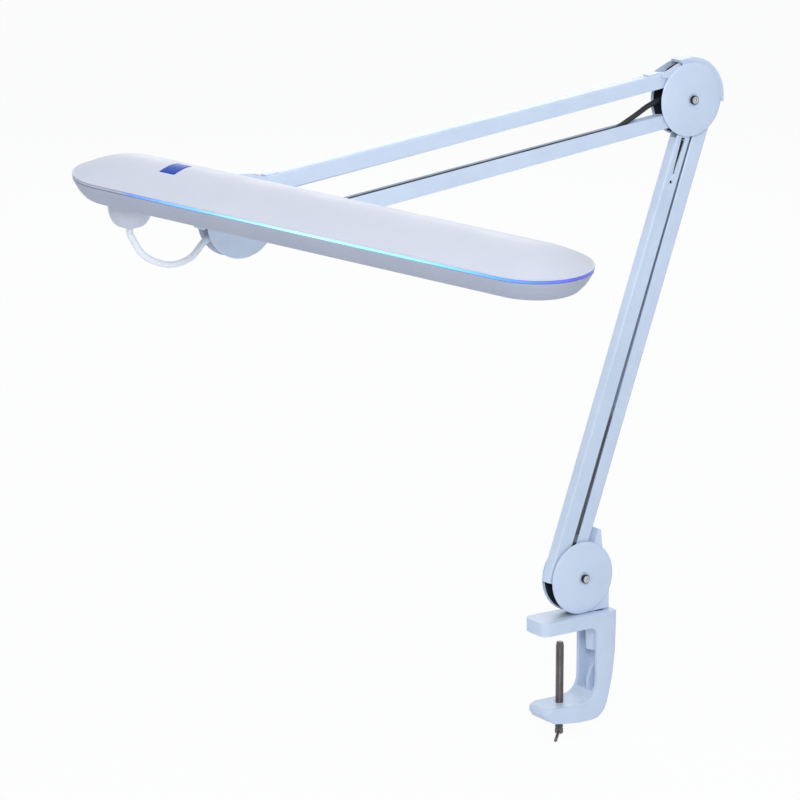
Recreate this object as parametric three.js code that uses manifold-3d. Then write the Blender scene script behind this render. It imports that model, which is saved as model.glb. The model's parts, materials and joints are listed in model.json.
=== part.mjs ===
// Swing arm desk lamp on a table clamp, in millimetres, +Z up.
// The origin is where the clamp screw's axis meets the underside of the upper jaw.
// +X runs from the jaw's tip to the clamp's column, and the arms move in the XZ plane.
import * as THREE from 'three';
import { mergeVertices } from 'three/addons/utils/BufferGeometryUtils.js';
import Module from 'manifold-3d';

const wasm = await Module();
wasm.setup();

// Pose of the arms, as directions in the XZ plane counted from +X
const degree = Math.PI / 180;
const lowerAngle = 70.56 * degree;
const upperAngle = 186.78 * degree;
const neckPitch = -1.38 * degree;
const headRoll = 5.1 * degree;
const headSwivel = -68.71 * degree;

// Clearances
const touchGap = 0.3;
const pinGap = 0.35;
const layerGap = 0.15;
const overrun = 2;
const weldDistance = 0.0001;

// Table clamp, a C-shaped casting open towards the table
const clampWidth = 33;
const clampLength = 86.2;
const clampDrop = 91.4;
const jawReach = 31;
const jawThickness = 13.2;
const clampFlange = 4;
const tipRadius = 8;
const backRadius = 3;
const screwBossRadius = 9;
const screwBossTop = 74;
const screwBossBottom = 88;
const spindleBossRadius = 8.5;
const spindleBossDrop = 26;
const spindleBossTop = 4;
const ribThickness = 4;

// Clamp screw and its bar
const screwRadius = 4;
const screwTop = 12.7;
const screwLength = 91;
const screwChamfer = 1;
const barRadius = 1.6;
const barLength = 60;
const barAboveEnd = 2.4;
const barTurn = 47.3 * degree;

// Spindle that the arm turns on, and its bush in the clamp
const spindleOffset = 40.7;
const spindleRadius = 5;
const spindleBelowBush = 2;
const bushWall = 0.7;
const bushFlangeRadius = 9;
const bushFlange = 0.5;

// Layers across the arm, from its middle plane outwards
const channelDepth = 11.6;
const linerThickness = 0.7;
const cheekThickness = 0.8;
const coverRim = 1.1;
const coverRise = 3;
const coverSheet = 0.9;

// Channels of the arms
const channelHeight = 16;
const channelWall = 1.2;
const channelRound = 1.5;
const earRadius = 5.5;
const taperLength = 14;
const tailLength = 5.3;
const lowerSpan = 442.8;
const upperSpan = 471;
const tabFromElbow = 21;
const tabFromHead = 14.5;
const tabLength = 13;
const tabHeight = 1.4;
const slotFromPivot = 12;
const slotLength = 35;
const slotWide = 4.6;
const slotNarrow = 1.6;
const sideHoleFromPivot = 55;
const sideHoleRadius = 1.6;

// Round joints at the base, the elbow and the head
const discRadius = 35;
const cheekRadius = 34;
const linerRadius = 33.5;
const wallRadius = 39.5;
const wallThickness = 2.5;
const wallFootRadius = 27.2;
const wallFrom = -8 * degree;
const wallTo = 108 * degree;
const boltRadius = 3;
const boltHeadRadius = 4.25;
const boltHeadHeight = 2.8;
const socketRadius = 1.9;
const socketDepth = 1.6;
const nutRadius = 5;
const nutHeight = 4;
const pinRadius = 2.5;
const hubRadius = 7;
const coreArmThickness = 3;
const coreArmWidth = 7;
const anchorLobe = 4;
const anchorRadius = 1.5;
const anchorReach = 3.4;
const anchorFromPivot = 10;

// Places in the joints, as offsets from a joint's centre
const baseCentre = { x: 19.7, z: 48.8 };
const baseOuterPivot = { x: -4.4, z: 19.7 };
const lowerPair = { x: 24.9, z: 16.8 };
const elbowOuterPivot = { x: 22.6, z: -8 };
const upperPair = { x: 7.3, z: 40 };
const elbowTopPivot = { x: -12.6, z: 21 };
const headTopPivot = { x: 14.25, z: 24.15 };

// Base bracket
const footFrom = 8;
const footTo = 32;
const footThickness = 5;
const footGap = 0.25;

// Springs
const springRadius = 3.9;
const springNeck = 3.2;
const springPitch = 5;
const wireRadius = 0.7;
const springHook = 8;
const springLength = 115;

// Cord, in the channels and free between the arm and the cup
const cordRadius = 2.5;
const headCordRadius = 3;
const cordOffset = 5.4;
const cordOverPin = 5.9;
const cordLeavesChannel = 62;
const cordEntersChannel = 14;
const cordStep = 12;
const grommetThickness = 2.1;

// Neck and cup between the arm and the head
const knuckle = { x: -44, z: 22.4 };
const knuckleRadius = 6;
const knuckleWidth = 7.6;
const knuckleEar = 3.5;
const earFoot = 8;
const neckLength = 62.8;
const neckHeight = 11.4;
const tenonRadius = 6;
const tenonShort = 7;
const collarLength = 3;
const cupRadius = 19.5;
const cupTop = 8.5;
const cupBottom = 17.5;
const glandRadius = 3.5;
const glandDepth = 6.5;
const headAboveCup = 10;
const washerRadius = 14;
const studRadius = 5;
const studDepth = 8;
const studFlange = 13.5;
const studFlangeThickness = 2;

// Head
const headLength = 505.6;
const headWidth = 101;
const headEnd = 52;
const hubFromEnd = 49.5;
const trayHeight = 17.2;
const trayInset = 12.3;
const trayCornerInset = 1.2;
const trayBendInset = 5.2;
const trayBendHeight = 7.8;
const trayEdgeInset = 0.3;
const trayFloor = 2;
const stripHeight = 2.3;
const stripWidth = 6;
const domeHeight = 15.5;
const domePower = 1.7;
const shellWall = 2;
const windowFrom = 28.3;
const windowFromTip = 37.8;
const windowWidth = 62;
const windowRound = 12;
const diffuserLap = 3;
const diffuserSheet = 2;
const diffuserHeight = 6.6;
const boardThickness = 1.6;
const ledSize = 3.5;
const ledHeight = 0.9;
const ledColumns = 15;
const driverLength = 110;
const driverWidth = 32;
const driverHeight = 13;
const driverFrom = 130;
const padLength = 16;
const padWidth = 25;
const padCentre = 52.3;
const padAcross = -5;
const padRound = 2;
const padThickness = 1;
const padProud = 0.4;
const screwNear = -24.7;
const screwNearAcross = 12;
const screwFromTip = 26.8;
const screwFarAcross = 14;
const screwHeadRadius = 2.9;
const screwHeadHeight = 1.8;
const shankRadius = 1.5;
const shankLength = 16;
const postRadius = 4.2;
const postHeight = 6;
const counterbore = 4;

// Segments round a turned piece
const discSides = 36;
const roundSides = 24;
const pinSides = 12;
const cordSides = 8;
const headEndSides = 16;
const hexSides = 6;

// Segments of the curves in flat outlines
const slabSegments = 6;
const plateSegments = 4;
const beamSegments = 3;

// Outlines in shares of the sizes named where they are used
const throatShares = [
  [0.145, 0], [0.4, -0.008], [0.525, -0.025], [0.582, -0.05], [0.154, -0.62],
  [-0.515, -0.71], [-0.513, -0.81], [-0.424, -0.909], [-0.12, -0.967], [0.56, -1],
  [0.68, -0.985], [0.757, -0.932], [0.861, -0.719], [0.971, -0.307], [1, -0.011],
];
const recessShares = [
  [0.18, -0.055], [0.908, -0.055], [0.879, -0.312], [0.772, -0.706], [0.688, -0.881],
  [0.551, -0.944], [-0.09, -0.912], [-0.353, -0.864], [-0.422, -0.793], [-0.422, -0.547],
];
const ribShares = [[0.66, -0.26], [0.88, -0.31], [0.25, -0.94], [0.06, -0.94], [0.06, -0.84]];
const lugShares = [[0.29, 0.82], [0.43, 0.974], [0.54, 1.32], [0.632, 1.294], [0.706, 0.706]];
const linerShares = [
  [-1.1, -1.1], [0.22, -1.1], [0.22, -0.86], [0.85, -0.86], [0.85, 0.5], [0.69, 0.67],
  [0.265, 0.79], [0.395, 0.97], [0.42, 1.1], [-1.1, 1.1],
];
const tabShares = [[0.2, 1.1], [0.412, 1.06], [0.912, 0.9], [0.912, 0.794], [0.588, 0.706], [0.3, 0.82]];
const baseArmShares = [
  [-0.12, 0.15], [0.12, 0.15], [0.165, 0.47], [0.165, 0.72], [0.08, 0.93], [-0.03, 0.95],
  [-0.1, 0.8], [-0.015, 0.72], [-0.015, 0.42],
];
const cupShares = [[0, 1], [0.42, 0.985], [0.7, 0.87], [0.88, 0.66], [0.97, 0.38], [1, 0.12], [1, 0]];
const elbowCordShares = [
  [-1.94, -0.42], [-1.63, -0.27], [-1.25, -0.08], [-0.87, 0.03],
  [-0.57, -0.02], [-0.33, -0.2], [-0.06, -0.36], [0.14, -0.52],
];
const headCordShares = [
  [-3.0, -0.2], [-2.66, -0.67], [-2.0, -0.96], [-1.37, -0.87],
  [-0.95, -0.5], [-0.62, -0.37], [-0.3, -0.365],
];
const coverShares = [[1, 0], [0.94, 0.24], [0.62, 0.68]];
const domeShares = [0.1, 0.25, 0.45, 0.7, 0.96];

// Levels and radii that follow from the sizes above
const columnReach = clampLength - jawReach;
const channelSide = channelDepth / 2;
const channelInside = channelSide - channelWall;
const linerInner = channelSide + layerGap;
const linerOuter = linerInner + linerThickness;
const cheekInner = linerOuter + layerGap;
const cheekOuter = cheekInner + cheekThickness;
const coverSeat = cheekOuter + layerGap;
const crown = coverSeat + coverRim + coverRise;
const bushInner = spindleRadius + touchGap;
const bushOuter = bushInner + bushWall;
const footFloor = jawThickness + layerGap + bushFlange + footGap - baseCentre.z;
const armTilt = upperAngle - Math.PI;
const stripFloor = trayHeight + touchGap;
const domeFloor = stripFloor + stripHeight + touchGap;
const diffuserFloor = trayFloor + layerGap;
const headTip = headLength - hubFromEnd;
const windowTo = headTip - windowFromTip;
const screwFar = headTip - screwFromTip;
const springStart = anchorFromPivot + anchorLobe + touchGap;
const boardFloor = diffuserFloor + diffuserHeight + layerGap;

// Colours and surfaces
const finishes = {
  paint: { color: 0xe2e8f4, roughness: 0.4, metalness: 0.1 },
  casting: { color: 0xe3e9f4, roughness: 0.5, metalness: 0.1 },
  shell: { color: 0xe6e9f0, roughness: 0.45, metalness: 0 },
  tray: { color: 0xb4b9c8, roughness: 0.5, metalness: 0 },
  black: { color: 0x14181f, roughness: 0.55, metalness: 0 },
  rubber: { color: 0x1b1e24, roughness: 0.7, metalness: 0 },
  steel: { color: 0xb5b8bd, roughness: 0.3, metalness: 1 },
  darkSteel: { color: 0x6f665f, roughness: 0.4, metalness: 1 },
  opal: { color: 0xf4f7ff, roughness: 0.3, metalness: 0 },
  glow: { color: 0x9fe0ff, roughness: 0.15, metalness: 0 },
  blue: { color: 0x1e50b4, roughness: 0.3, metalness: 0 },
  board: { color: 0xf0f0ea, roughness: 0.6, metalness: 0 },
  cord: { color: 0xf2f4f8, roughness: 0.5, metalness: 0 },
};

// Solids

function tidy(geometry) {
  // One closed surface: shared corners merged, and triangles that this closed up left out
  const source = geometry.clone();
  source.deleteAttribute('normal');
  source.deleteAttribute('uv');
  const merged = mergeVertices(source, weldDistance);
  const index = merged.index.array;
  const kept = [];
  for (let i = 0; i < index.length; i += 3) {
    const [a, b, c] = [index[i], index[i + 1], index[i + 2]];
    if (a !== b && b !== c && c !== a) kept.push(a, b, c);
  }
  merged.setIndex(kept);
  return merged;
}

function toSolid(geometry) {
  const closed = tidy(geometry);
  return new wasm.Manifold(new wasm.Mesh({
    numProp: 3,
    vertProperties: new Float32Array(closed.attributes.position.array),
    triVerts: new Uint32Array(closed.index.array),
  }));
}

function toGeometry(solid) {
  const mesh = solid.getMesh();
  const geometry = new THREE.BufferGeometry();
  geometry.setAttribute('position', new THREE.BufferAttribute(mesh.vertProperties, 3));
  geometry.setIndex(new THREE.BufferAttribute(mesh.triVerts, 1));
  return geometry;
}

function join(first, ...others) {
  return toGeometry(others.reduce((sum, piece) => sum.add(toSolid(piece)), toSolid(first)));
}

function cut(body, ...tools) {
  return toGeometry(tools.reduce((left, tool) => left.subtract(toSolid(tool)), toSolid(body)));
}

function common(one, other) {
  return toGeometry(toSolid(one).intersect(toSolid(other)));
}

// Shapes

function scaled(shares, width, height = width) {
  return shares.map(([x, z]) => [x * width, z * height]);
}

function outline(points) {
  return new THREE.Shape(points.map(([x, z]) => new THREE.Vector2(x, z)));
}

function disc(radius) {
  const shape = new THREE.Shape();
  shape.absarc(0, 0, radius, 0, 2 * Math.PI, false);
  return shape;
}

function ringSector(inner, outer, from, to) {
  const shape = new THREE.Shape();
  shape.absarc(0, 0, outer, from, to, false);
  shape.absarc(0, 0, inner, to, from, true);
  shape.closePath();
  return shape;
}

function roundedRectangle(length, width, radius) {
  const [x, y] = [length / 2 - radius, width / 2 - radius];
  const shape = new THREE.Shape();
  shape.absarc(x, y, radius, 0, Math.PI / 2, false);
  shape.absarc(-x, y, radius, Math.PI / 2, Math.PI, false);
  shape.absarc(-x, -y, radius, Math.PI, 1.5 * Math.PI, false);
  shape.absarc(x, -y, radius, 1.5 * Math.PI, 2 * Math.PI, false);
  shape.closePath();
  return shape;
}

function slab(shape, from, to, curveSegments = slabSegments) {
  // An outline in the XZ plane, given depth along Y
  const geometry = new THREE.ExtrudeGeometry(shape, {
    depth: to - from, bevelEnabled: false, curveSegments,
  });
  geometry.rotateX(Math.PI / 2);
  return geometry.translate(0, to, 0);
}

function plate(shape, from, to, curveSegments = plateSegments) {
  // An outline in the XY plane, given height along Z
  const geometry = new THREE.ExtrudeGeometry(shape, {
    depth: to - from, bevelEnabled: false, curveSegments,
  });
  return geometry.translate(0, 0, from);
}

function beam(shape, from, to, curveSegments = beamSegments) {
  // An outline in the YZ plane, given length along X
  const geometry = new THREE.ExtrudeGeometry(shape, {
    depth: to - from, bevelEnabled: false, curveSegments,
  });
  geometry.applyMatrix4(new THREE.Matrix4().makeBasis(
    new THREE.Vector3(0, 1, 0), new THREE.Vector3(0, 0, 1), new THREE.Vector3(1, 0, 0),
  ));
  return geometry.translate(from, 0, 0);
}

function box(xFrom, xTo, yFrom, yTo, zFrom, zTo) {
  const geometry = new THREE.BoxGeometry(xTo - xFrom, yTo - yFrom, zTo - zFrom);
  return geometry.translate((xFrom + xTo) / 2, (yFrom + yTo) / 2, (zFrom + zTo) / 2);
}

function rod(radius, from, to, place = { x: 0, z: 0 }, sides = pinSides) {
  // A round bar along Y
  const geometry = new THREE.CylinderGeometry(radius, radius, to - from, sides);
  return geometry.translate(place.x, (from + to) / 2, place.z);
}

function post(radius, from, to, x = 0, y = 0, sides = roundSides) {
  // A round bar along Z
  const geometry = new THREE.CylinderGeometry(radius, radius, to - from, sides);
  geometry.rotateX(Math.PI / 2);
  return geometry.translate(x, y, (from + to) / 2);
}

function bar(radius, from, to, sides = roundSides) {
  // A round bar along X
  const geometry = new THREE.CylinderGeometry(radius, radius, to - from, sides);
  geometry.rotateZ(Math.PI / 2);
  return geometry.translate((from + to) / 2, 0, 0);
}

function turned(profile, sides = roundSides) {
  // A profile of radius and height, counter-clockwise, turned round Y
  return new THREE.LatheGeometry(profile.map(([r, h]) => new THREE.Vector2(r, h)), sides);
}

function turnedUpright(profile, sides = roundSides) {
  return turned(profile, sides).rotateX(Math.PI / 2);
}

function loft(rings) {
  // Rings with equal counts of corners, counter-clockwise from above, lowest first
  const count = rings[0].length;
  const faces = [];
  for (let level = 0; level + 1 < rings.length; level += 1) {
    for (let i = 0; i < count; i += 1) {
      const a = level * count + i;
      const b = level * count + (i + 1) % count;
      faces.push(a, b, b + count, a, b + count, a + count);
    }
  }
  const last = (rings.length - 1) * count;
  for (let i = 1; i + 1 < count; i += 1) {
    faces.push(0, i + 1, i);
    faces.push(last, last + i, last + i + 1);
  }
  const geometry = new THREE.BufferGeometry();
  geometry.setAttribute('position', new THREE.Float32BufferAttribute(rings.flat(2), 3));
  geometry.setIndex(faces);
  return geometry;
}

function cordAlong(points, radius) {
  const path = new THREE.CatmullRomCurve3(points.map((p) => new THREE.Vector3(...p)));
  return new THREE.ExtrudeGeometry(disc(radius), {
    steps: Math.ceil(path.getLength() / cordStep),
    curveSegments: cordSides / 2,
    bevelEnabled: false,
    extrudePath: path,
  });
}

function minus(a, b) {
  return { x: a.x - b.x, z: a.z - b.z };
}

function opposite(a) {
  return { x: -a.x, z: -a.z };
}

function ahead(place, angle, along, left = 0) {
  // From a place, some way along a direction and some way to the left of it
  return {
    x: place.x + along * Math.cos(angle) - left * Math.sin(angle),
    z: place.z + along * Math.sin(angle) + left * Math.cos(angle),
  };
}

// Assembly helpers

function piece(name, geometry, finish, parent) {
  const mesh = new THREE.Mesh(geometry, new THREE.MeshStandardMaterial(finishes[finish]));
  mesh.name = name;
  parent.add(mesh);
}

function frameAt(parent, place, turn = 0) {
  // A group at a place in the parent's XZ plane, turned from +X towards +Z
  const group = new THREE.Group();
  group.position.set(place.x, 0, place.z);
  group.rotation.y = -turn;
  parent.add(group);
  return group;
}

// Clamp

function clampPlan() {
  // The casting from above: large corners at the tip, small ones at the column
  const [tip, side] = [tipRadius - jawReach, clampWidth / 2];
  const back = columnReach - backRadius;
  const shape = new THREE.Shape();
  shape.absarc(back, side - backRadius, backRadius, 0, Math.PI / 2, false);
  shape.absarc(tip, side - tipRadius, tipRadius, Math.PI / 2, Math.PI, false);
  shape.absarc(tip, tipRadius - side, tipRadius, Math.PI, 1.5 * Math.PI, false);
  shape.absarc(back, backRadius - side, backRadius, 1.5 * Math.PI, 2 * Math.PI, false);
  shape.closePath();
  return shape;
}

function clampFrame() {
  const half = clampWidth / 2;
  const hollow = half - clampFlange;
  const side = outline([
    [columnReach, jawThickness],
    [-jawReach, jawThickness],
    [-jawReach, 0],
    ...scaled(throatShares, columnReach, clampDrop),
  ]);
  const recess = outline(scaled(recessShares, columnReach, clampDrop));
  const rib = outline(scaled(ribShares, columnReach, clampDrop));
  const casting = join(
    cut(slab(side, -half, half), slab(recess, -hollow, hollow)),
    post(screwBossRadius, -screwBossBottom, -screwBossTop),
    post(spindleBossRadius, -spindleBossDrop, -spindleBossTop, spindleOffset),
    slab(rib, -ribThickness / 2, ribThickness / 2),
  );
  return cut(
    common(casting, plate(clampPlan(), -clampDrop - overrun, jawThickness + overrun)),
    post(screwRadius + touchGap, -clampDrop - overrun, -screwBossTop + overrun),
    post(bushOuter + touchGap, -spindleBossDrop - overrun, jawThickness + overrun, spindleOffset),
  );
}

function swivelBush() {
  const bottom = -spindleBossDrop + spindleBelowBush;
  const top = jawThickness + layerGap;
  return turnedUpright([
    [bushInner, bottom],
    [bushOuter, bottom],
    [bushOuter, top],
    [bushFlangeRadius, top],
    [bushFlangeRadius, top + bushFlange],
    [bushInner, top + bushFlange],
    [bushInner, bottom],
  ]).translate(spindleOffset, 0, 0);
}

function crossBar(radius, length) {
  const geometry = bar(radius, -length / 2, length / 2, pinSides);
  geometry.rotateZ(barTurn);
  return geometry.translate(0, 0, barAboveEnd - screwTop - screwLength);
}

function clampScrew() {
  const end = -screwTop - screwLength;
  const screw = turnedUpright([
    [0, end],
    [screwRadius - screwChamfer, end],
    [screwRadius, end + screwChamfer],
    [screwRadius, -screwTop - screwChamfer],
    [screwRadius - screwChamfer, -screwTop],
    [0, -screwTop],
  ], pinSides);
  return cut(screw, crossBar(barRadius + touchGap, barLength));
}

// Arms

function channelOutline(span, squareEnd) {
  const half = channelHeight / 2;
  const shape = new THREE.Shape();
  if (squareEnd) {
    shape.moveTo(-tailLength, half);
    shape.lineTo(-tailLength, -half);
  } else {
    shape.moveTo(taperLength, half);
    shape.absarc(0, 0, earRadius, Math.PI / 2, 1.5 * Math.PI, false);
    shape.lineTo(taperLength, -half);
  }
  shape.lineTo(span - taperLength, -half);
  shape.absarc(span, 0, earRadius, -Math.PI / 2, Math.PI / 2, false);
  shape.lineTo(span - taperLength, half);
  shape.closePath();
  return shape;
}

function channel(span, webSide, squareEnd = false) {
  // A U-section along X with its web on one side of the centre line, open on the other
  const half = channelHeight / 2;
  const [from, to] = [-earRadius - overrun, span + earRadius + overrun];
  const outside = common(
    slab(channelOutline(span, squareEnd), -channelSide, channelSide),
    beam(roundedRectangle(channelDepth, channelHeight, channelRound), from, to),
  );
  const hollow = box(from, to, -channelInside, channelInside, -half - overrun, half - channelWall);
  const nearEnd = box(from, taperLength, -channelInside, channelInside, 0, half + overrun);
  const farEnd = box(span - taperLength, to, -channelInside, channelInside, 0, half + overrun);
  const tools = [hollow, farEnd];
  if (!squareEnd) tools.push(nearEnd);
  if (webSide < 0) tools.forEach((tool) => tool.rotateX(Math.PI));
  const holes = [0, span].map((x) => rod(pinRadius + pinGap, -channelDepth, channelDepth, { x, z: 0 }));
  return cut(outside, ...tools, ...holes);
}

function tab(from) {
  // A low rest on the outside of the web
  const top = -channelHeight / 2;
  return box(from, from + tabLength, -channelInside, channelInside, top - tabHeight, top + channelWall / 2);
}

function lowerInnerChannel() {
  const [from, wall] = [lowerSpan - slotFromPivot, channelWall + touchGap];
  const slot = slab(outline([
    [from, -slotWide / 2],
    [from, slotWide / 2],
    [from - slotLength, slotNarrow / 2],
    [from - slotLength, -slotNarrow / 2],
  ]), -channelSide - touchGap, -channelSide + wall);
  const holePlace = { x: lowerSpan - sideHoleFromPivot, z: 0 };
  const hole = rod(sideHoleRadius, -channelSide - touchGap, -channelSide + wall, holePlace);
  return cut(channel(lowerSpan, 1, true), slot, hole);
}

function lowerOuterChannel() {
  return join(channel(lowerSpan, -1), channelAnchor());
}

function upperTopChannel() {
  return join(
    channel(upperSpan, -1),
    channelAnchor(),
    tab(tabFromElbow),
    tab(upperSpan - tabFromHead - tabLength),
  );
}

function spring() {
  // Close coils as a turned ripple, with a straight wire at each end
  const coils = Math.round(springLength / springPitch);
  const pitch = springLength / coils;
  const profile = [[0, -springHook], [wireRadius, -springHook], [wireRadius, 0]];
  for (let i = 0; i < coils; i += 1) {
    profile.push([springNeck, i * pitch], [springRadius, (i + 0.5) * pitch]);
  }
  profile.push(
    [springNeck, springLength],
    [wireRadius, springLength],
    [wireRadius, springLength + springHook],
    [0, springLength + springHook],
  );
  const geometry = turned(profile, cordSides);
  geometry.rotateZ(-Math.PI / 2);
  return geometry.translate(springStart + springHook, 0, 0);
}

function channelAnchor() {
  // The rivet across a channel that holds the spring's far end
  const x = springStart + springLength + 2 * springHook + touchGap + anchorRadius;
  const half = channelInside + channelWall / 2;
  return rod(anchorRadius, -half, half, { x, z: 0 });
}

function grommet() {
  // The rubber piece in the channel's square end, with the cord's way out
  const side = channelInside - touchGap;
  const half = channelHeight / 2;
  return cut(
    box(-tailLength, grommetThickness - tailLength, -side, side, -half, half - channelWall - touchGap),
    bar(cordRadius + pinGap, -tailLength - overrun, 0, pinSides).translate(0, 0, -cordOffset),
  );
}

// Round joints

function cover(side) {
  // A shallow dome with a flat rim and a hole for the bolt
  const hole = boltRadius + touchGap;
  const top = coverShares.map(([r, h]) => [discRadius * r, coverRim + coverRise * h]);
  const inside = [...top].reverse().slice(0, 1).map(([r, h]) => [r, h - coverSheet]);
  const rim = discRadius - coverSheet;
  const dome = turned([
    [hole, coverRim + coverRise - coverSheet],
    ...inside,
    [rim, coverRim - coverSheet],
    [rim, 0],
    [discRadius, 0],
    ...top,
    [hole, coverRim + coverRise],
    [hole, coverRim + coverRise - coverSheet],
  ], discSides);
  dome.translate(0, coverSeat, 0);
  return side > 0 ? dome : dome.rotateX(Math.PI);
}

function bolt() {
  const headFrom = -crown - layerGap - boltHeadHeight;
  return cut(
    join(
      rod(boltRadius, headFrom + boltHeadHeight / 2, crown + layerGap + nutHeight),
      rod(boltHeadRadius, headFrom, headFrom + boltHeadHeight, undefined, roundSides),
    ),
    rod(socketRadius, headFrom - overrun, headFrom + socketDepth, undefined, hexSides),
  );
}

function nut() {
  const from = crown + layerGap;
  return cut(
    rod(nutRadius, from, from + nutHeight, undefined, hexSides),
    rod(boltRadius + touchGap, from - overrun, from + nutHeight + overrun),
  );
}

function onBothSides(shape, from, to, curveSegments) {
  return join(slab(shape, -to, -from, curveSegments), slab(shape, from, to, curveSegments));
}

function pinHoles(places) {
  return places.map((place) => rod(pinRadius + pinGap, -crown, crown, place));
}

function boltHole() {
  return rod(boltRadius + touchGap, -crown, crown);
}

function spool(flanges, ...arms) {
  // A hub on the bolt between two round flanges that the channels run along
  return join(flanges, rod(hubRadius, -linerInner, linerInner, undefined, roundSides), ...arms);
}

function anchorArm(outlinePoints, anchor) {
  // An arm of the spool in the middle plane, with the pin that holds a spring's end
  const half = coreArmThickness / 2;
  return join(
    slab(outline(outlinePoints), -half, half),
    rod(anchorLobe, -half, half, anchor, roundSides),
    rod(anchorRadius, -anchorReach, anchorReach, anchor),
  );
}

function addRoundJoint(name, group, bracket, core, pivots) {
  const holes = [boltHole(), ...pinHoles(pivots)];
  const half = cheekOuter - layerGap;
  piece(`${name}_bracket`, cut(bracket, ...holes), 'paint', group);
  piece(`${name}_spool`, cut(core, ...holes), 'black', group);
  piece(`${name}_cover_front`, cover(-1), 'paint', group);
  piece(`${name}_cover_back`, cover(1), 'paint', group);
  piece(`${name}_bolt`, bolt(), 'steel', group);
  piece(`${name}_nut`, nut(), 'steel', group);
  pivots.forEach((place, i) => {
    piece(`${name}_pin_${i + 1}`, rod(pinRadius, -half, half, place), 'steel', group);
  });
}

function baseBracket() {
  const lug = outline(scaled(lugShares, cheekRadius));
  const skirt = outline([[footFrom, footFloor], [footTo, footFloor], [footTo, 0], [footFrom, 0]]);
  const spindleX = spindleOffset - baseCentre.x;
  return cut(
    join(
      onBothSides(disc(cheekRadius), cheekInner, cheekOuter, discSides / 2),
      onBothSides(skirt, cheekInner, cheekOuter),
      slab(lug, -cheekOuter, cheekOuter),
      box(footTo - wallThickness, footTo, -cheekOuter, cheekOuter, footFloor, 0),
      box(footFrom, footTo, -cheekOuter, cheekOuter, footFloor, footFloor + footThickness),
    ),
    post(spindleRadius + touchGap, footFloor - overrun, footFloor + footThickness + overrun, spindleX),
  );
}

function spindle() {
  const top = footFloor + footThickness;
  const bottom = -spindleBossDrop - baseCentre.z;
  return post(spindleRadius, bottom, top, spindleOffset - baseCentre.x);
}

function roundFlanges() {
  return onBothSides(disc(linerRadius), linerInner, linerOuter, discSides / 2);
}

function baseFlanges() {
  return common(roundFlanges(), slab(outline(scaled(linerShares, cheekRadius)), -crown, crown));
}

function armBracket(wallStart, wallEnd, restShares) {
  // Cheeks on a disc with a curved wall between them, and a rest over the channel
  const rest = onBothSides(outline(scaled(restShares, cheekRadius)), cheekInner, cheekOuter);
  rest.rotateY(-armTilt);
  return join(
    onBothSides(disc(cheekRadius), cheekInner, cheekOuter, discSides / 2),
    onBothSides(ringSector(wallFootRadius, wallRadius, wallStart, wallEnd), cheekInner, cheekOuter),
    slab(ringSector(wallRadius - wallThickness, wallRadius, wallStart, wallEnd), -cheekOuter, cheekOuter),
    rest,
  );
}

function bracketToRight() {
  return armBracket(Math.PI - wallTo, Math.PI - wallFrom, tabShares);
}

function bracketToLeft() {
  return armBracket(wallFrom, wallTo, tabShares.map(([x, z]) => [-x, z]));
}

function knuckleEars() {
  const reach = Math.hypot(knuckle.x, knuckle.z);
  const near = wallRadius - wallThickness / 2;
  const foot = outline([[near, -earFoot], [reach, -knuckleRadius], [reach, knuckleRadius], [near, earFoot]]);
  const inner = knuckleWidth / 2 + touchGap;
  const ears = join(
    onBothSides(foot, inner, inner + knuckleEar),
    rod(knuckleRadius, inner, inner + knuckleEar, { x: reach, z: 0 }, roundSides),
    rod(knuckleRadius, -inner - knuckleEar, -inner, { x: reach, z: 0 }, roundSides),
  );
  return ears.rotateY(-Math.atan2(knuckle.z, knuckle.x));
}

// Neck and cup

function neckBar() {
  const half = neckHeight / 2;
  const shoulder = cupRadius + collarLength - neckLength;
  return cut(
    join(
      rod(half, -knuckleWidth / 2, knuckleWidth / 2, undefined, roundSides),
      box(shoulder, 0, -knuckleWidth / 2, knuckleWidth / 2, -half, half),
      bar(tenonRadius, tenonShort - neckLength, shoulder + collarLength / 2),
    ),
    rod(pinRadius + pinGap, -knuckleWidth, knuckleWidth),
  );
}

function hubCup() {
  // A bowl, bored from the side for the neck, from above for the stud and below for the cord
  const depth = cupTop + cupBottom;
  const profile = cupShares.map(([r, d]) => [cupRadius * r, cupTop - depth * d]);
  return cut(
    turnedUpright([...profile, [0, cupTop]]),
    bar(tenonRadius + touchGap, tenonShort - touchGap, cupRadius + overrun),
    post(studRadius + touchGap, cupTop - studDepth, cupTop + overrun),
    post(glandRadius, -cupBottom - overrun, glandDepth - cupBottom),
  );
}

// Head

function headRing(inset, height) {
  // The head's outline, long with round ends, moved in by inset
  const middle = headLength / 2 - hubFromEnd;
  const halfWidth = headWidth / 2 - inset;
  const end = headEnd - inset;
  const straight = headLength / 2 - headEnd;
  const points = [];
  for (const side of [1, -1]) {
    for (let i = 0; i <= headEndSides; i += 1) {
      const angle = (i / headEndSides - 0.5) * Math.PI;
      const x = middle + side * (straight + end * Math.cos(angle));
      points.push([x, side * halfWidth * Math.sin(angle), height]);
    }
  }
  return points;
}

function dome(inset, drop) {
  // The crown over the outline, steep at the rim and flat along the crest
  const floor = domeFloor - drop;
  const reach = headWidth / 2 - inset;
  const rings = domeShares.map((step) => (
    headRing(inset + reach * step, floor + domeHeight * (1 - (1 - step) ** domePower))
  ));
  return loft([headRing(inset, floor), ...rings]);
}

const screwPlaces = [
  [screwNear, screwNearAcross],
  [screwNear, -screwNearAcross],
  [screwFar, screwFarAcross],
  [screwFar, -screwFarAcross],
];

function atScrews(radius, from, to) {
  return screwPlaces.map(([x, y]) => post(radius, from, to, x, y, pinSides));
}

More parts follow.
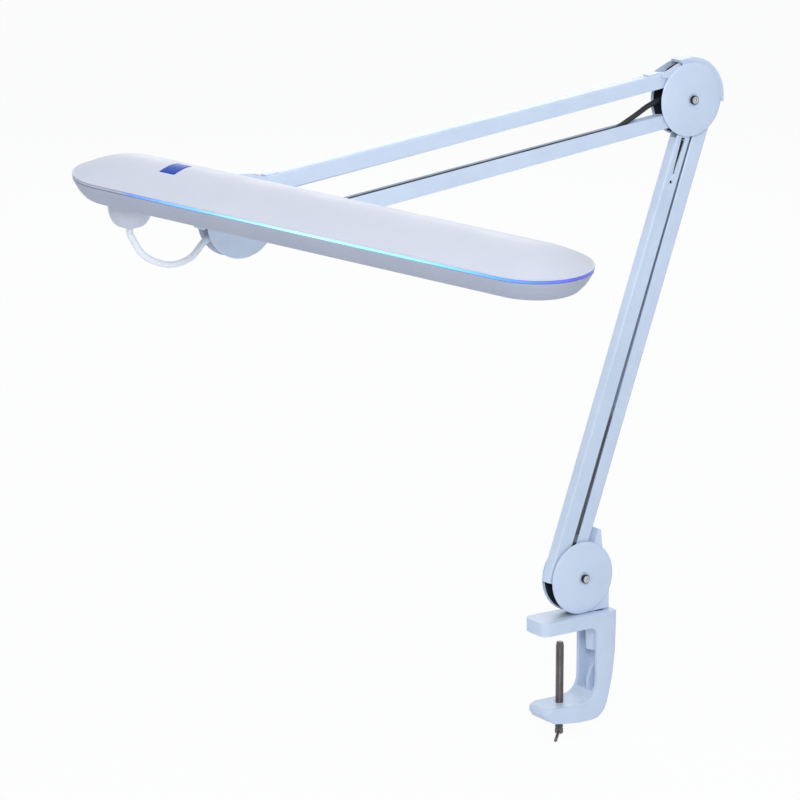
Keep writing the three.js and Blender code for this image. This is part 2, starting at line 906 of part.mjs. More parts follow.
function padBlock(grow) {
  const shape = roundedRectangle(padLength + 2 * grow, padWidth + 2 * grow, padRound + grow);
  const block = plate(shape, domeFloor, domeFloor + 2 * domeHeight, beamSegments);
  return block.translate(padCentre, padAcross, 0);
}

function padPocket() {
  return cut(padBlock(touchGap), dome(0, padThickness - padProud + layerGap));
}

function touchPad() {
  return cut(common(padBlock(0), dome(0, -padProud)), dome(0, padThickness - padProud));
}

function topShell() {
  const bossFloor = trayFloor + postHeight + touchGap;
  const within = join(
    dome(shellWall / 2, shellWall / 2),
    loft([headRing(shellWall, 0), headRing(shellWall, domeFloor)]),
  );
  const bosses = atScrews(postRadius, bossFloor, domeFloor + domeHeight).map((boss) => common(boss, within));
  return cut(
    join(cut(dome(0, 0), dome(shellWall, shellWall)), ...bosses),
    ...atScrews(shankRadius + touchGap, 0, counterbore + shankLength + touchGap),
    padPocket(),
  );
}

function windowPlate(grow, from, to) {
  const length = windowTo - windowFrom + 2 * grow;
  const shape = roundedRectangle(length, windowWidth + 2 * grow, windowRound + grow);
  return plate(shape, from, to).translate((windowTo + windowFrom) / 2, 0, 0);
}

function headTray() {
  const outside = loft([
    headRing(trayInset, 0),
    headRing(trayBendInset, trayBendHeight),
    headRing(trayEdgeInset, trayHeight),
  ]);
  const inside = loft([
    headRing(trayInset + trayCornerInset, trayFloor),
    headRing(trayBendInset + shellWall, trayBendHeight),
    headRing(trayEdgeInset + shellWall, trayHeight),
    headRing(trayEdgeInset + shellWall, trayHeight + overrun),
  ]);
  return cut(
    join(cut(outside, inside), ...atScrews(postRadius, trayFloor / 2, trayFloor + postHeight)),
    windowPlate(0, -overrun, trayFloor + overrun),
    post(studRadius + touchGap, -overrun, trayFloor + overrun),
    ...atScrews(screwHeadRadius + touchGap, -overrun, counterbore),
    ...atScrews(shankRadius + touchGap, 0, trayFloor + postHeight + overrun),
  );
}

function lightStrip() {
  const top = stripFloor + stripHeight;
  return cut(
    loft([
      headRing(trayEdgeInset, stripFloor),
      headRing(0, (stripFloor + top) / 2),
      headRing(trayEdgeInset, top),
    ]),
    loft([headRing(stripWidth, stripFloor - overrun), headRing(stripWidth, top + overrun)]),
  );
}

function diffuser() {
  // An opal pan in the window that carries the board on its rim
  const top = diffuserFloor + diffuserHeight;
  return cut(
    windowPlate(diffuserLap, diffuserFloor, top),
    windowPlate(diffuserLap - diffuserSheet, diffuserFloor + diffuserSheet, top + overrun),
  );
}

function ledBoard() {
  // A board with two rows of chips on its underside
  const chips = [];
  const pitch = (windowTo - windowFrom) / ledColumns;
  const top = boardFloor + boardThickness / 2;
  for (let i = 0; i < ledColumns; i += 1) {
    const x = windowFrom + (i + 0.5) * pitch;
    for (const y of [-windowWidth / 4, windowWidth / 4]) {
      chips.push(box(x, x + ledSize, y - ledSize / 2, y + ledSize / 2, boardFloor - ledHeight, top));
    }
  }
  return join(windowPlate(diffuserLap, boardFloor, boardFloor + boardThickness), ...chips);
}

function driver() {
  const floor = boardFloor + boardThickness + layerGap;
  const half = driverWidth / 2;
  return box(driverFrom, driverFrom + driverLength, -half, half, floor, floor + driverHeight);
}

function headScrew([x, y]) {
  const headTop = counterbore - layerGap;
  return join(
    post(screwHeadRadius, headTop - screwHeadHeight, headTop, x, y, pinSides),
    post(shankRadius, headTop - screwHeadHeight / 2, counterbore + shankLength, x, y, pinSides),
  );
}

function swivelStud() {
  const end = cupTop - headAboveCup - studDepth + touchGap;
  const floor = trayFloor + layerGap;
  return turnedUpright([
    [0, end],
    [studRadius, end],
    [studRadius, floor],
    [studFlange, floor],
    [studFlange, floor + studFlangeThickness],
    [0, floor + studFlangeThickness],
  ]);
}

function swivelWasher() {
  const inner = studRadius + touchGap;
  const bottom = cupTop - headAboveCup + layerGap;
  return turnedUpright([
    [inner, bottom],
    [washerRadius, bottom],
    [washerRadius, -layerGap],
    [inner, -layerGap],
    [inner, bottom],
  ]);
}

// Cords

function upperCord() {
  // Along the bottom channel, over its head pivot and up to where it leaves the channel
  return cordAlong([
    [upperSpan, 0, -cordOverPin],
    [upperSpan - taperLength, 0, -cordOffset],
    [(upperSpan + cordLeavesChannel) / 2, 0, -cordOffset],
    [cordLeavesChannel, 0, -cordOffset],
  ], cordRadius);
}

function lowerCord() {
  return cordAlong([
    [-tailLength + touchGap, 0, -cordOffset],
    [0, 0, -cordOverPin],
    [taperLength, 0, -cordOffset],
    [lowerSpan / 2, 0, -cordOffset],
    [lowerSpan - cordEntersChannel, 0, -cordOffset],
  ], cordRadius);
}

function elbowCord(bottomPivot, innerPivot) {
  // From the bottom channel through the elbow into the inner lower channel
  const leave = ahead(bottomPivot, upperAngle, cordLeavesChannel - cordRadius / 2, -cordOffset);
  const over = ahead(innerPivot, lowerAngle, 0, -cordOverPin);
  const enter = ahead(innerPivot, lowerAngle, -cordEntersChannel + touchGap * 2, -cordOffset);
  const between = scaled(elbowCordShares, discRadius).map(([x, z]) => [x, 0, z]);
  return cordAlong([
    [leave.x, 0, leave.z],
    ...between,
    [over.x, 0, over.z],
    [enter.x, 0, enter.z],
  ], cordRadius);
}

function headCord(bottomPivot) {
  // From the cup's gland in a loop to the head joint and in between its discs
  const cup = { x: knuckle.x - neckLength, z: knuckle.z - neckLength * Math.sin(-neckPitch) };
  const exit = (down) => [
    cup.x - down * Math.sin(neckPitch), down * Math.sin(headRoll), cup.z - down * Math.cos(headRoll),
  ];
  const end = ahead(bottomPivot, upperAngle, touchGap * 1.5, -cordOverPin);
  return cordAlong([
    exit(cupBottom - glandDepth + touchGap * 2),
    exit(cupBottom),
    exit(cupBottom + cordStep / 2),
    ...scaled(headCordShares, discRadius).map(([x, z]) => [x, 0, z]),
    [end.x, 0, end.z],
  ], headCordRadius);
}

// Assembly

const lamp = new THREE.Group();
piece('clamp_frame', clampFrame(), 'casting', lamp);
piece('swivel_bush', swivelBush(), 'black', lamp);
piece('clamp_screw', clampScrew(), 'darkSteel', lamp);
piece('tommy_bar', crossBar(barRadius, barLength), 'darkSteel', lamp);

const base = frameAt(lamp, baseCentre);
const baseInnerPivot = minus(baseOuterPivot, lowerPair);
const baseAnchor = ahead(baseOuterPivot, lowerAngle, anchorFromPivot);
const baseSpool = spool(baseFlanges(), anchorArm(scaled(baseArmShares, discRadius), baseAnchor));
addRoundJoint('base', base, baseBracket(), baseSpool, [baseOuterPivot, baseInnerPivot]);
piece('base_spindle', spindle(), 'steel', base);

const lowerOuter = frameAt(base, baseOuterPivot, lowerAngle);
piece('lower_outer_channel', lowerOuterChannel(), 'paint', lowerOuter);
piece('lower_spring', spring(), 'steel', lowerOuter);

const lowerInner = frameAt(base, baseInnerPivot, lowerAngle);
piece('lower_inner_channel', lowerInnerChannel(), 'paint', lowerInner);
piece('lower_cord', lowerCord(), 'rubber', lowerInner);
piece('cord_grommet', grommet(), 'rubber', lowerInner);

const elbowLevel = frameAt(lowerOuter, { x: lowerSpan, z: 0 }, -lowerAngle);
const elbow = frameAt(elbowLevel, opposite(elbowOuterPivot));
const elbowInnerPivot = minus(elbowOuterPivot, lowerPair);
const elbowBottomPivot = minus(elbowTopPivot, upperPair);
const elbowAnchor = ahead(elbowTopPivot, upperAngle, anchorFromPivot);
const elbowArm = [[coreArmWidth / 2, 0], [0, -coreArmWidth / 2], [elbowAnchor.x, elbowAnchor.z]];
const elbowSpool = spool(roundFlanges(), anchorArm(elbowArm, elbowAnchor));
addRoundJoint('elbow', elbow, bracketToLeft(), elbowSpool,
  [elbowOuterPivot, elbowInnerPivot, elbowTopPivot, elbowBottomPivot]);
piece('elbow_cord', elbowCord(elbowBottomPivot, elbowInnerPivot), 'rubber', elbow);

const upperTop = frameAt(elbow, elbowTopPivot, upperAngle);
piece('upper_top_channel', upperTopChannel(), 'paint', upperTop);
piece('upper_spring', spring(), 'steel', upperTop);

const upperBottom = frameAt(elbow, elbowBottomPivot, upperAngle);
piece('upper_bottom_channel', channel(upperSpan, 1), 'paint', upperBottom);
piece('upper_cord', upperCord(), 'rubber', upperBottom);

const headLevel = frameAt(upperTop, { x: upperSpan, z: 0 }, -upperAngle);
const headJoint = frameAt(headLevel, opposite(headTopPivot));
const headBottomPivot = minus(headTopPivot, upperPair);
const headBracket = cut(
  join(bracketToRight(), knuckleEars()),
  rod(pinRadius + pinGap, -crown, crown, knuckle),
);
addRoundJoint('head_joint', headJoint, headBracket, spool(roundFlanges()), [headTopPivot, headBottomPivot]);
const knuckleReach = knuckleWidth / 2 + touchGap + knuckleEar;
piece('neck_pin', rod(pinRadius, -knuckleReach, knuckleReach, knuckle), 'steel', headJoint);
piece('head_cord', headCord(headBottomPivot), 'cord', headJoint);

const neck = frameAt(headJoint, knuckle, -neckPitch);
piece('neck_bar', neckBar(), 'paint', neck);

const hub = new THREE.Group();
hub.position.x = -neckLength;
hub.rotation.x = headRoll;
neck.add(hub);
piece('hub_cup', hubCup(), 'shell', hub);

const head = new THREE.Group();
head.position.z = headAboveCup;
head.rotation.z = headSwivel;
hub.add(head);
piece('head_top_shell', topShell(), 'shell', head);
piece('head_tray', headTray(), 'tray', head);
piece('light_strip', lightStrip(), 'glow', head);
piece('diffuser', diffuser(), 'opal', head);
piece('led_board', ledBoard(), 'board', head);
piece('driver', driver(), 'opal', head);
piece('touch_pad', touchPad(), 'blue', head);
screwPlaces.forEach((place, i) => piece(`head_screw_${i + 1}`, headScrew(place), 'steel', head));
piece('swivel_stud', swivelStud(), 'steel', head);
piece('swivel_washer', swivelWasher(), 'black', head);

export default lamp;
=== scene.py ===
"""Looks of a swing arm desk lamp on a table clamp.

Lengths are in metres in the row frame, +Z up, with the origin where the clamp screw's axis
meets the underside of the upper jaw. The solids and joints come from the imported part.
"""
import json
import math

import bmesh
import bpy
from bpy.props import FloatProperty, FloatVectorProperty, IntProperty, PointerProperty
from mathutils import Matrix, Vector

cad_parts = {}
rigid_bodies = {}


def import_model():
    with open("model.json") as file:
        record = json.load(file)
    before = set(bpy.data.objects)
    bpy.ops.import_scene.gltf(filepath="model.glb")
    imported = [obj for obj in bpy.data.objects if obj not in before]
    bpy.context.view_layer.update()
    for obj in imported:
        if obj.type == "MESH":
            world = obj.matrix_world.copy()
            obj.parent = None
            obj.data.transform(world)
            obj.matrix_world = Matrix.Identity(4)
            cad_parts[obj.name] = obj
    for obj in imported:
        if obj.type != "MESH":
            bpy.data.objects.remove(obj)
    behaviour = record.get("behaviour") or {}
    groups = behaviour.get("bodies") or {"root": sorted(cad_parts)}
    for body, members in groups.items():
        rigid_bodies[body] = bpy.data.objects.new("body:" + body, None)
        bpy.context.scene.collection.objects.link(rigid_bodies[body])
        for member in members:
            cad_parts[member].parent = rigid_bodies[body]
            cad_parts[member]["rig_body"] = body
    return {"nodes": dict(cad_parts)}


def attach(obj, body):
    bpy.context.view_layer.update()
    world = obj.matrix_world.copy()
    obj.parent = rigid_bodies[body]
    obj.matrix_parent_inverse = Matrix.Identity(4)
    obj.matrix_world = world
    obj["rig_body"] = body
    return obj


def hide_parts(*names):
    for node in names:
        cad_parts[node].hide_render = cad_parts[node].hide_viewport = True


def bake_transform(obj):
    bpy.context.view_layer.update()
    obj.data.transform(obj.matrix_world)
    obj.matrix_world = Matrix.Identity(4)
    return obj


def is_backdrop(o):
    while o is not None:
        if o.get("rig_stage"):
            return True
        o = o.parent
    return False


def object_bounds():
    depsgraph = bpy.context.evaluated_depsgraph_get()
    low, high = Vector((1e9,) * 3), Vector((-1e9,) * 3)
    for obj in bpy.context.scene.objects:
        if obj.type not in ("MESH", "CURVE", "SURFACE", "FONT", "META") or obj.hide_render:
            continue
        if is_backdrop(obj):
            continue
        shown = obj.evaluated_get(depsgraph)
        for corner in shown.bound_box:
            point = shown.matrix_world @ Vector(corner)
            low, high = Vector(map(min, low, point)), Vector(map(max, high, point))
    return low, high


bl_info = {
    "name": "Swing Arm Desk Lamp",
    "version": (1, 0, 0),
    "blender": (4, 5, 0),
    "location": "3D View > Sidebar > Lamp",
    "description": "Builds the looks of a swing arm desk lamp over its solids",
    "category": "Add Mesh",
}

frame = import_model()
MM = 0.001

# Places of the joints
BASE_CENTRE = Vector((0.0197, 0, 0.0488))
ELBOW_CENTRE = Vector((0.140072, 0, 0.494056))
HEAD_CENTRE = Vector((-0.354484, 0, 0.435301))
CUP_CENTRE = Vector((-0.461265, 0, 0.456189))
LOWER_PIVOT = Vector((0.0153, 0, 0.0685))
LOWER_INNER_PIVOT = Vector((-0.0096, 0, 0.0517))
UPPER_PIVOT = Vector((0.127472, 0, 0.515056))
UPPER_BOTTOM_PIVOT = Vector((0.120172, 0, 0.475056))
LOWER_ALONG = Vector((0.33282, 0, 0.94299))
UPPER_ALONG = Vector((-0.99301, 0, -0.11806))


def axes_at(origin, x_axis, y_axis, z_axis):
    """A placement with these axes and origin."""
    turn = Matrix((x_axis, y_axis, z_axis)).transposed().to_4x4()
    return Matrix.Translation(origin) @ turn


def arm_placement(pivot, along):
    """A channel's own frame: x along it, y across and z to its left."""
    return axes_at(pivot, along, Vector((0, 1, 0)), Vector((-along.z, 0, along.x)))


HEAD_PLACEMENT = axes_at(
    Vector((-0.461505, -0.000889, 0.466146)),
    Vector((0.36498, -0.92807, -0.07406)),
    Vector((0.93071, 0.36165, 0.05471)),
    Vector((-0.02399, -0.08889, 0.99575)),
)
CUP_PLACEMENT = axes_at(
    CUP_CENTRE,
    Vector((0.99971, 0, 0.02408)),
    Vector((-0.00214, 0.99604, 0.08887)),
    Vector((-0.02399, -0.08889, 0.99575)),
)

# Sizes of the head, in its own frame
HEAD_HALF_WIDTH = 0.0505
HEAD_HALF_LENGTH = 0.2528
HEAD_MIDDLE = 0.2033
HEAD_END = 0.052
DOME_FLOOR = 0.0201
DOME_RISE = 0.0155
DOME_POWER = 1.7
SHELL_WALL = 0.002
WINDOW_MIDDLE = 0.2233
WINDOW_HALF_LENGTH = 0.195
WINDOW_HALF_WIDTH = 0.031
WINDOW_ROUND = 0.012

# Sizes of the round joints
DISC_RADIUS = 0.035
COVER_SEAT = 0.00775
COVER_RIM = 0.0011
COVER_RISE = 0.003
BOLT_RADIUS = 0.003

# The photo's view, and the point that the lamps face
CAMERA_PLACE = (-2.0901, -2.8075, 1.0849)
CAMERA_HEADING = (0.5619, 0.8272)
CAMERA_PITCH = -13.85
CAMERA_LENS = 173.84
LAMP_AIM = Vector((-0.15, 0, 0.25))

# Points that the cords follow in millimetres, from a joint's centre or in a channel's own frame
HEAD_CORD_POINTS = [
    (-106.5, 1.03, 9.3), (-106.4, 1.56, 3.5), (-106.2, 2.09, -2.5), (-105, 0, -7),
    (-93.1, 0, -23.45), (-70, 0, -33.6), (-47.95, 0, -30.45), (-33.25, 0, -17.5),
    (-21.7, 0, -12.95), (-10.5, 0, -12.8), (5.8, 0, -10.0),
]
ELBOW_CORD_POINTS = [
    (-80.9, 0, -20.8), (-67.9, 0, -14.7), (-57.05, 0, -9.45), (-43.75, 0, -2.8),
    (-30.45, 0, 1.05), (-19.95, 0, -0.7), (-11.55, 0, -7), (-2.1, 0, -12.6),
    (4.9, 0, -18.2), (3.26, 0, -26.76), (-1.67, 0, -39.2),
]
UPPER_CORD_POINTS = [(471, 0, -5.9), (457, 0, -5.4), (266.5, 0, -5.4), (62, 0, -5.4)]
LOWER_CORD_POINTS = [(-5, 0, -5.4), (0, 0, -5.9), (14, 0, -5.4), (221.4, 0, -5.4), (428.8, 0, -5.4)]
HEAD_CORD_RADIUS = 0.003
BLACK_CORD_RADIUS = 0.0025

# Half the width of the clamp's casting, and its outline in side view in millimetres
CASTING_HALF_WIDTH = 0.0165
CLAMP_OUTLINE = [
    (-31, 0), (-31, 13.2), (55.2, 13.2), (55.2, -1), (54.4, -28), (51.5, -52), (48.2, -66.5), (45.6, -77),
    (43, -83), (39, -87.4), (33.5, -90), (26, -91.2), (12, -91.2), (-8, -89), (-18, -87.2), (-24, -84),
    (-27, -79.6), (-27, -76), (-25.4, -73.6), (-22, -72.6), (0, -72.8), (14, -72.4), (21, -71.2), (26, -68.6),
    (29.6, -64.4), (31.6, -58.5), (32.1, -52), (32.1, -8), (31.4, -4.4), (28.8, -1.4), (24.5, 0),
]

# Colours of the edge light along the head, and where it begins to be lit; the grey-blue of the unlit end is
# plain plastic darkened with painted shade.
STRIP_COLOURS = [
    (0.0, (178, 184, 202)), (0.15, (178, 184, 202)), (0.175, (118, 140, 220)), (0.3, (128, 190, 250)),
    (0.52, (190, 242, 253)), (0.76, (150, 220, 252)), (0.91, (98, 156, 244)), (1.0, (90, 94, 204)),
]
STRIP_LIT_FROM = 0.145
STRIP_LIT_TO = 0.185

# Finish of each CAD node
NODE_SLOTS = {
    "clamp_frame": "casting", "swivel_bush": "black_plastic",
    "clamp_screw": "clamp_steel", "tommy_bar": "clamp_steel", "base_spindle": "zinc_steel",
    "lower_outer_channel": "painted_steel", "lower_inner_channel": "painted_steel",
    "upper_top_channel": "painted_steel", "upper_bottom_channel": "painted_steel",
    "cord_grommet": "black_rubber", "neck_bar": "painted_steel", "neck_pin": "zinc_steel",
    "hub_cup": "head_plastic", "swivel_stud": "zinc_steel", "swivel_washer": "black_plastic",
    "diffuser": "opal_plastic", "led_board": "board", "driver": "board",
    "head_screw_1": "zinc_steel", "head_screw_2": "zinc_steel",
    "head_screw_3": "zinc_steel", "head_screw_4": "zinc_steel",
}
# The head joint's spool takes the pale head plastic, not black like the others: painted light for the
# washed-out brightness at that joint.
for joint, spool_slot in (
    ("base", "black_plastic"), ("elbow", "black_plastic"), ("head_joint", "head_plastic"),
):
    NODE_SLOTS[joint + "_bracket"] = "painted_steel"
    NODE_SLOTS[joint + "_spool"] = spool_slot
    for fastener in ("bolt", "nut", "pin_1", "pin_2", "pin_3", "pin_4"):
        NODE_SLOTS[f"{joint}_{fastener}"] = "zinc_steel"


def linear(red, green, blue):
    """A colour of 0 to 255 as the linear colour that shaders take."""
    def one(value):
        share = value / 255
        return share / 12.92 if share <= 0.04045 else ((share + 0.055) / 1.055) ** 2.4
    return (one(red), one(green), one(blue), 1.0)


def colour_field(name, description, *shade):
    """A colour that the panel shows, given in steps of 0 to 255."""
    return FloatVectorProperty(
        name=name, description=description, subtype="COLOR", size=4, min=0, max=1, default=linear(*shade))


def length_field(name, description, default, least, most):
    """A length in metres that the panel shows."""
    return FloatProperty(
        name=name, description=description, default=default, min=least, max=most, unit="LENGTH")


class LampColours(bpy.types.PropertyGroup):
    """Colours of the lamp's finishes."""
    paint: colour_field("Arm paint", "Powder coat of the arms and joints", 210, 224, 243)
    casting: colour_field("Clamp paint", "Powder coat of the clamp's casting", 208, 222, 241)
    shell: colour_field("Head cover", "Moulded plastic of the head's cover", 208, 211, 222)
    # The tray is darker than the cover because its colour holds painted shade for the side wall, which faces
    # away from the lamps.
    tray: colour_field("Head tray", "Moulded plastic of the head's lower tray", 174, 179, 195)
    pad: colour_field("Touch pad", "Plain blue touch surface", 10, 62, 168)
    cord: colour_field("Head cord", "Sheath of the white cord", 238, 241, 247)
    dark_steel: colour_field("Clamp steel", "Blackened steel of the clamp screw", 112, 108, 106)


class LampSizes(bpy.types.PropertyGroup):
    """Sizes and counts of the dressed pieces."""
    edge_round: length_field("Edge round", "Radius of the edges on sheet pieces", 0.0004, 0.0001, 0.002)
    casting_round: length_field("Casting round", "Radius of the clamp's edges", 0.0012, 0.0002, 0.003)
    small_round: length_field("Small round", "Radius of the edges on pins and screws", 0.00025, 0.0001, 0.001)
    ring_steps: IntProperty(
        name="Ring steps", description="Points round the head's outline", default=130, min=26, max=300)
    disc_steps: IntProperty(
        name="Disc steps", description="Faces round a disc cover", default=96, min=24, max=200)
    thread_pitch: length_field(
        "Thread pitch", "Rise of the clamp screw's thread in one turn", 0.00125, 0.0008, 0.002)
    wire_radius: length_field("Spring wire", "Radius of the spring wire", 0.0006, 0.0003, 0.001)
    spring_turns: IntProperty(
        name="Spring turns", description="Coils of one spring", default=64, min=10, max=120)


# Shader parts that several finishes share

def add_node(tree, kind, x=0, y=0, **values):
    """A node with its inputs set by name."""
    node = tree.nodes.new(kind)
    node.location = (x, y)
    set_inputs(node, values)
    return node


def set_inputs(node, values):
    """Sets inputs whose names are written with underscores for spaces."""
    for name, value in values.items():
        node.inputs[name.replace("_", " ")].default_value = value


def add_maths(tree, operation, x, y):
    """A node that makes one value of two."""
    node = add_node(tree, "ShaderNodeMath", x, y)
    node.operation = operation
    return node


def add_colour_mix(tree, x, y):
    """A node that mixes two colours."""
    node = add_node(tree, "ShaderNodeMix", x, y)
    node.data_type = "RGBA"
    return node


def join(tree, *wires):
    """Makes links, each given as (from node, output, to node, input)."""
    for source, output, target, entry in wires:
        tree.links.new(source.outputs[output], target.inputs[entry])


def new_group(name, inputs, outputs):
    """An empty node group with these sockets."""
    group = bpy.data.node_groups.new(name, "ShaderNodeTree")
    for label, kind, value in inputs:
        socket = group.interface.new_socket(name=label, in_out="INPUT", socket_type=kind)
        if value is not None:
            socket.default_value = value
    for label, kind in outputs:
        group.interface.new_socket(name=label, in_out="OUTPUT", socket_type=kind)
    return group, add_node(group, "NodeGroupInput", -900), add_node(group, "NodeGroupOutput", 700)


def mottle_group():
    """Colour, roughness and height of a surface with fine grain and soft patches of handling."""
    known = bpy.data.node_groups.get("Surface Mottle")
    if known:
        return known
    colour, number = "NodeSocketColor", "NodeSocketFloat"
    group, entry, leave = new_group(
        "Surface Mottle",
        [("Place", "NodeSocketVector", None), ("Colour", colour, (0.8, 0.8, 0.8, 1)),
         ("Worn Colour", colour, (0.6, 0.6, 0.6, 1)), ("Grain Scale", number, 900.0),
         ("Patch Scale", number, 22.0), ("Patch Strength", number, 0.2),
         ("Smooth Roughness", number, 0.35), ("Rough Roughness", number, 0.5)],
        [("Colour", colour), ("Roughness", number), ("Height", number)])
    grain = add_node(group, "ShaderNodeTexNoise", -600, 200, Detail=3.0, Roughness=0.55)
    patch = add_node(group, "ShaderNodeTexNoise", -600, -100, Detail=5.0, Roughness=0.6)
    spread = add_node(group, "ShaderNodeMapRange", -380, -100, From_Min=0.42, From_Max=0.72)
    share = add_maths(group, "MULTIPLY", -180, -60)
    mix = add_colour_mix(group, 60, 150)
    both = add_maths(group, "MULTIPLY", -180, -260)
    rough = add_node(group, "ShaderNodeMapRange", 60, -160, From_Min=0.1, From_Max=0.45)
    join(
        group,
        (entry, "Place", grain, "Vector"), (entry, "Grain Scale", grain, "Scale"),
        (entry, "Place", patch, "Vector"), (entry, "Patch Scale", patch, "Scale"),
        (patch, "Fac", spread, "Value"), (spread, "Result", share, 0), (entry, "Patch Strength", share, 1),
        (share, 0, mix, "Factor"), (entry, "Colour", mix, "A"), (entry, "Worn Colour", mix, "B"),
        (patch, "Fac", both, 0), (grain, "Fac", both, 1), (both, 0, rough, "Value"),
        (entry, "Smooth Roughness", rough, "To Min"), (entry, "Rough Roughness", rough, "To Max"),
        (mix, "Result", leave, "Colour"), (rough, "Result", leave, "Roughness"),
        (grain, "Fac", leave, "Height"))
    return group


def brushed_group():
    """Height of fine lines across a turned or drawn metal piece."""
    known = bpy.data.node_groups.get("Drawn Lines")
    if known:
        return known
    group, entry, leave = new_group(
        "Drawn Lines",
        [("Place", "NodeSocketVector", None), ("Line Scale", "NodeSocketFloat", 400.0)],
        [("Height", "NodeSocketFloat")])
    stretch = add_node(group, "ShaderNodeMapping", -650, 0, Scale=(1.0, 1.0, 9.0))
    lines = add_node(group, "ShaderNodeTexNoise", -420, 0, Detail=4.0, Roughness=0.6)
    join(
        group,
        (entry, "Place", stretch, "Vector"), (stretch, "Vector", lines, "Vector"),
        (entry, "Line Scale", lines, "Scale"), (lines, "Fac", leave, "Height"))
    return group


def new_material(name):
    """A material with its tree, its shader and its coordinates node."""
    material = bpy.data.materials.new(name)
    material.use_nodes = True
    tree = material.node_tree
    return material, tree, tree.nodes["Principled BSDF"], add_node(tree, "ShaderNodeTexCoord", -900, 0)


def place_group(tree, group, place, y=0, **values):
    """A node group in a material, fed with the object coordinates."""
    node = tree.nodes.new("ShaderNodeGroup")
    node.node_tree = group
    node.location = (-600, y)
    set_inputs(node, values)
    join(tree, (place, "Object", node, "Place"))
    return node


def add_bump(tree, shader, source, output, strength, distance):
    """A bump from a node's height to the shader's normal."""
    bump = add_node(tree, "ShaderNodeBump", -250, -300, Strength=strength, Distance=distance)
    join(tree, (source, output, bump, "Height"), (bump, "Normal", shader, "Normal"))


def mottled_material(name, colour, worn, grain, bump, smooth, rough, patch=0.2, patch_scale=22.0, **sockets):
    """A coated or moulded surface."""
    material, tree, shader, place = new_material(name)
    surface = place_group(
        tree, mottle_group(), place, Colour=colour, Worn_Colour=worn, Grain_Scale=grain,
        Patch_Scale=patch_scale, Patch_Strength=patch, Smooth_Roughness=smooth, Rough_Roughness=rough)
    join(tree, (surface, "Colour", shader, "Base Color"), (surface, "Roughness", shader, "Roughness"))
    add_bump(tree, shader, surface, "Height", bump, 0.0002)
    set_inputs(shader, sockets)
    return material


def metal_material(name, colour, worn, lines, smooth, rough, patch=0.35):
    """A bare or plated metal with fine lines and a few dull patches."""
    material, tree, shader, place = new_material(name)
    surface = place_group(
        tree, mottle_group(), place, Colour=colour, Worn_Colour=worn, Grain_Scale=lines * 2,
        Patch_Scale=60.0, Patch_Strength=patch, Smooth_Roughness=smooth, Rough_Roughness=rough)
    drawn = place_group(tree, brushed_group(), place, -350, Line_Scale=lines)
    join(tree, (surface, "Colour", shader, "Base Color"), (surface, "Roughness", shader, "Roughness"))
    add_bump(tree, shader, drawn, "Height", 0.25, 0.0001)
    set_inputs(shader, {"Metallic": 1.0})
    return material


def strip_material(name):
    """Edge light that runs from blue through pale cyan to violet along the head, past an unlit end."""
    material, tree, shader, place = new_material(name)
    axis = HEAD_PLACEMENT.col[0].to_3d()
    pivot = HEAD_PLACEMENT.translation.dot(axis)
    along = add_node(tree, "ShaderNodeVectorMath", -700, 200)
    along.operation = "DOT_PRODUCT"
    along.inputs[1].default_value = axis
    share = add_node(
        tree, "ShaderNodeMapRange", -500, 200,
        From_Min=pivot + HEAD_MIDDLE - HEAD_HALF_LENGTH, From_Max=pivot + HEAD_MIDDLE + HEAD_HALF_LENGTH)
    ramp = add_node(tree, "ShaderNodeValToRGB", -300, 200)
    while len(ramp.color_ramp.elements) < len(STRIP_COLOURS):
        ramp.color_ramp.elements.new(0.5)
    for element, (position, colour) in zip(ramp.color_ramp.elements, STRIP_COLOURS):
        element.position = position
        element.color = linear(*colour)
    ripple = add_node(tree, "ShaderNodeTexNoise", -500, -100, Scale=60.0, Detail=2.0)
    soften = add_colour_mix(tree, -60, 200)
    soften.blend_type = "SOFT_LIGHT"
    soften.inputs["Factor"].default_value = 0.25
    lit = add_node(
        tree, "ShaderNodeMapRange", -300, 420, From_Min=STRIP_LIT_FROM, From_Max=STRIP_LIT_TO)
    glow = add_colour_mix(tree, 120, 420)
    glow.inputs["A"].default_value = (0, 0, 0, 1)
    join(
        tree,
        (place, "Object", along, 0), (along, "Value", share, "Value"), (share, "Result", ramp, "Fac"),
        (place, "Object", ripple, "Vector"), (ramp, "Color", soften, "A"), (ripple, "Color", soften, "B"),
        (soften, "Result", shader, "Base Color"), (share, "Result", lit, "Value"),
        (lit, "Result", glow, "Factor"), (soften, "Result", glow, "B"),
        (glow, "Result", shader, "Emission Color"))
    set_inputs(shader, {"Emission Strength": 0.46, "Roughness": 0.2})
    add_bump(tree, shader, ripple, "Fac", 0.1, 0.0001)
    return material


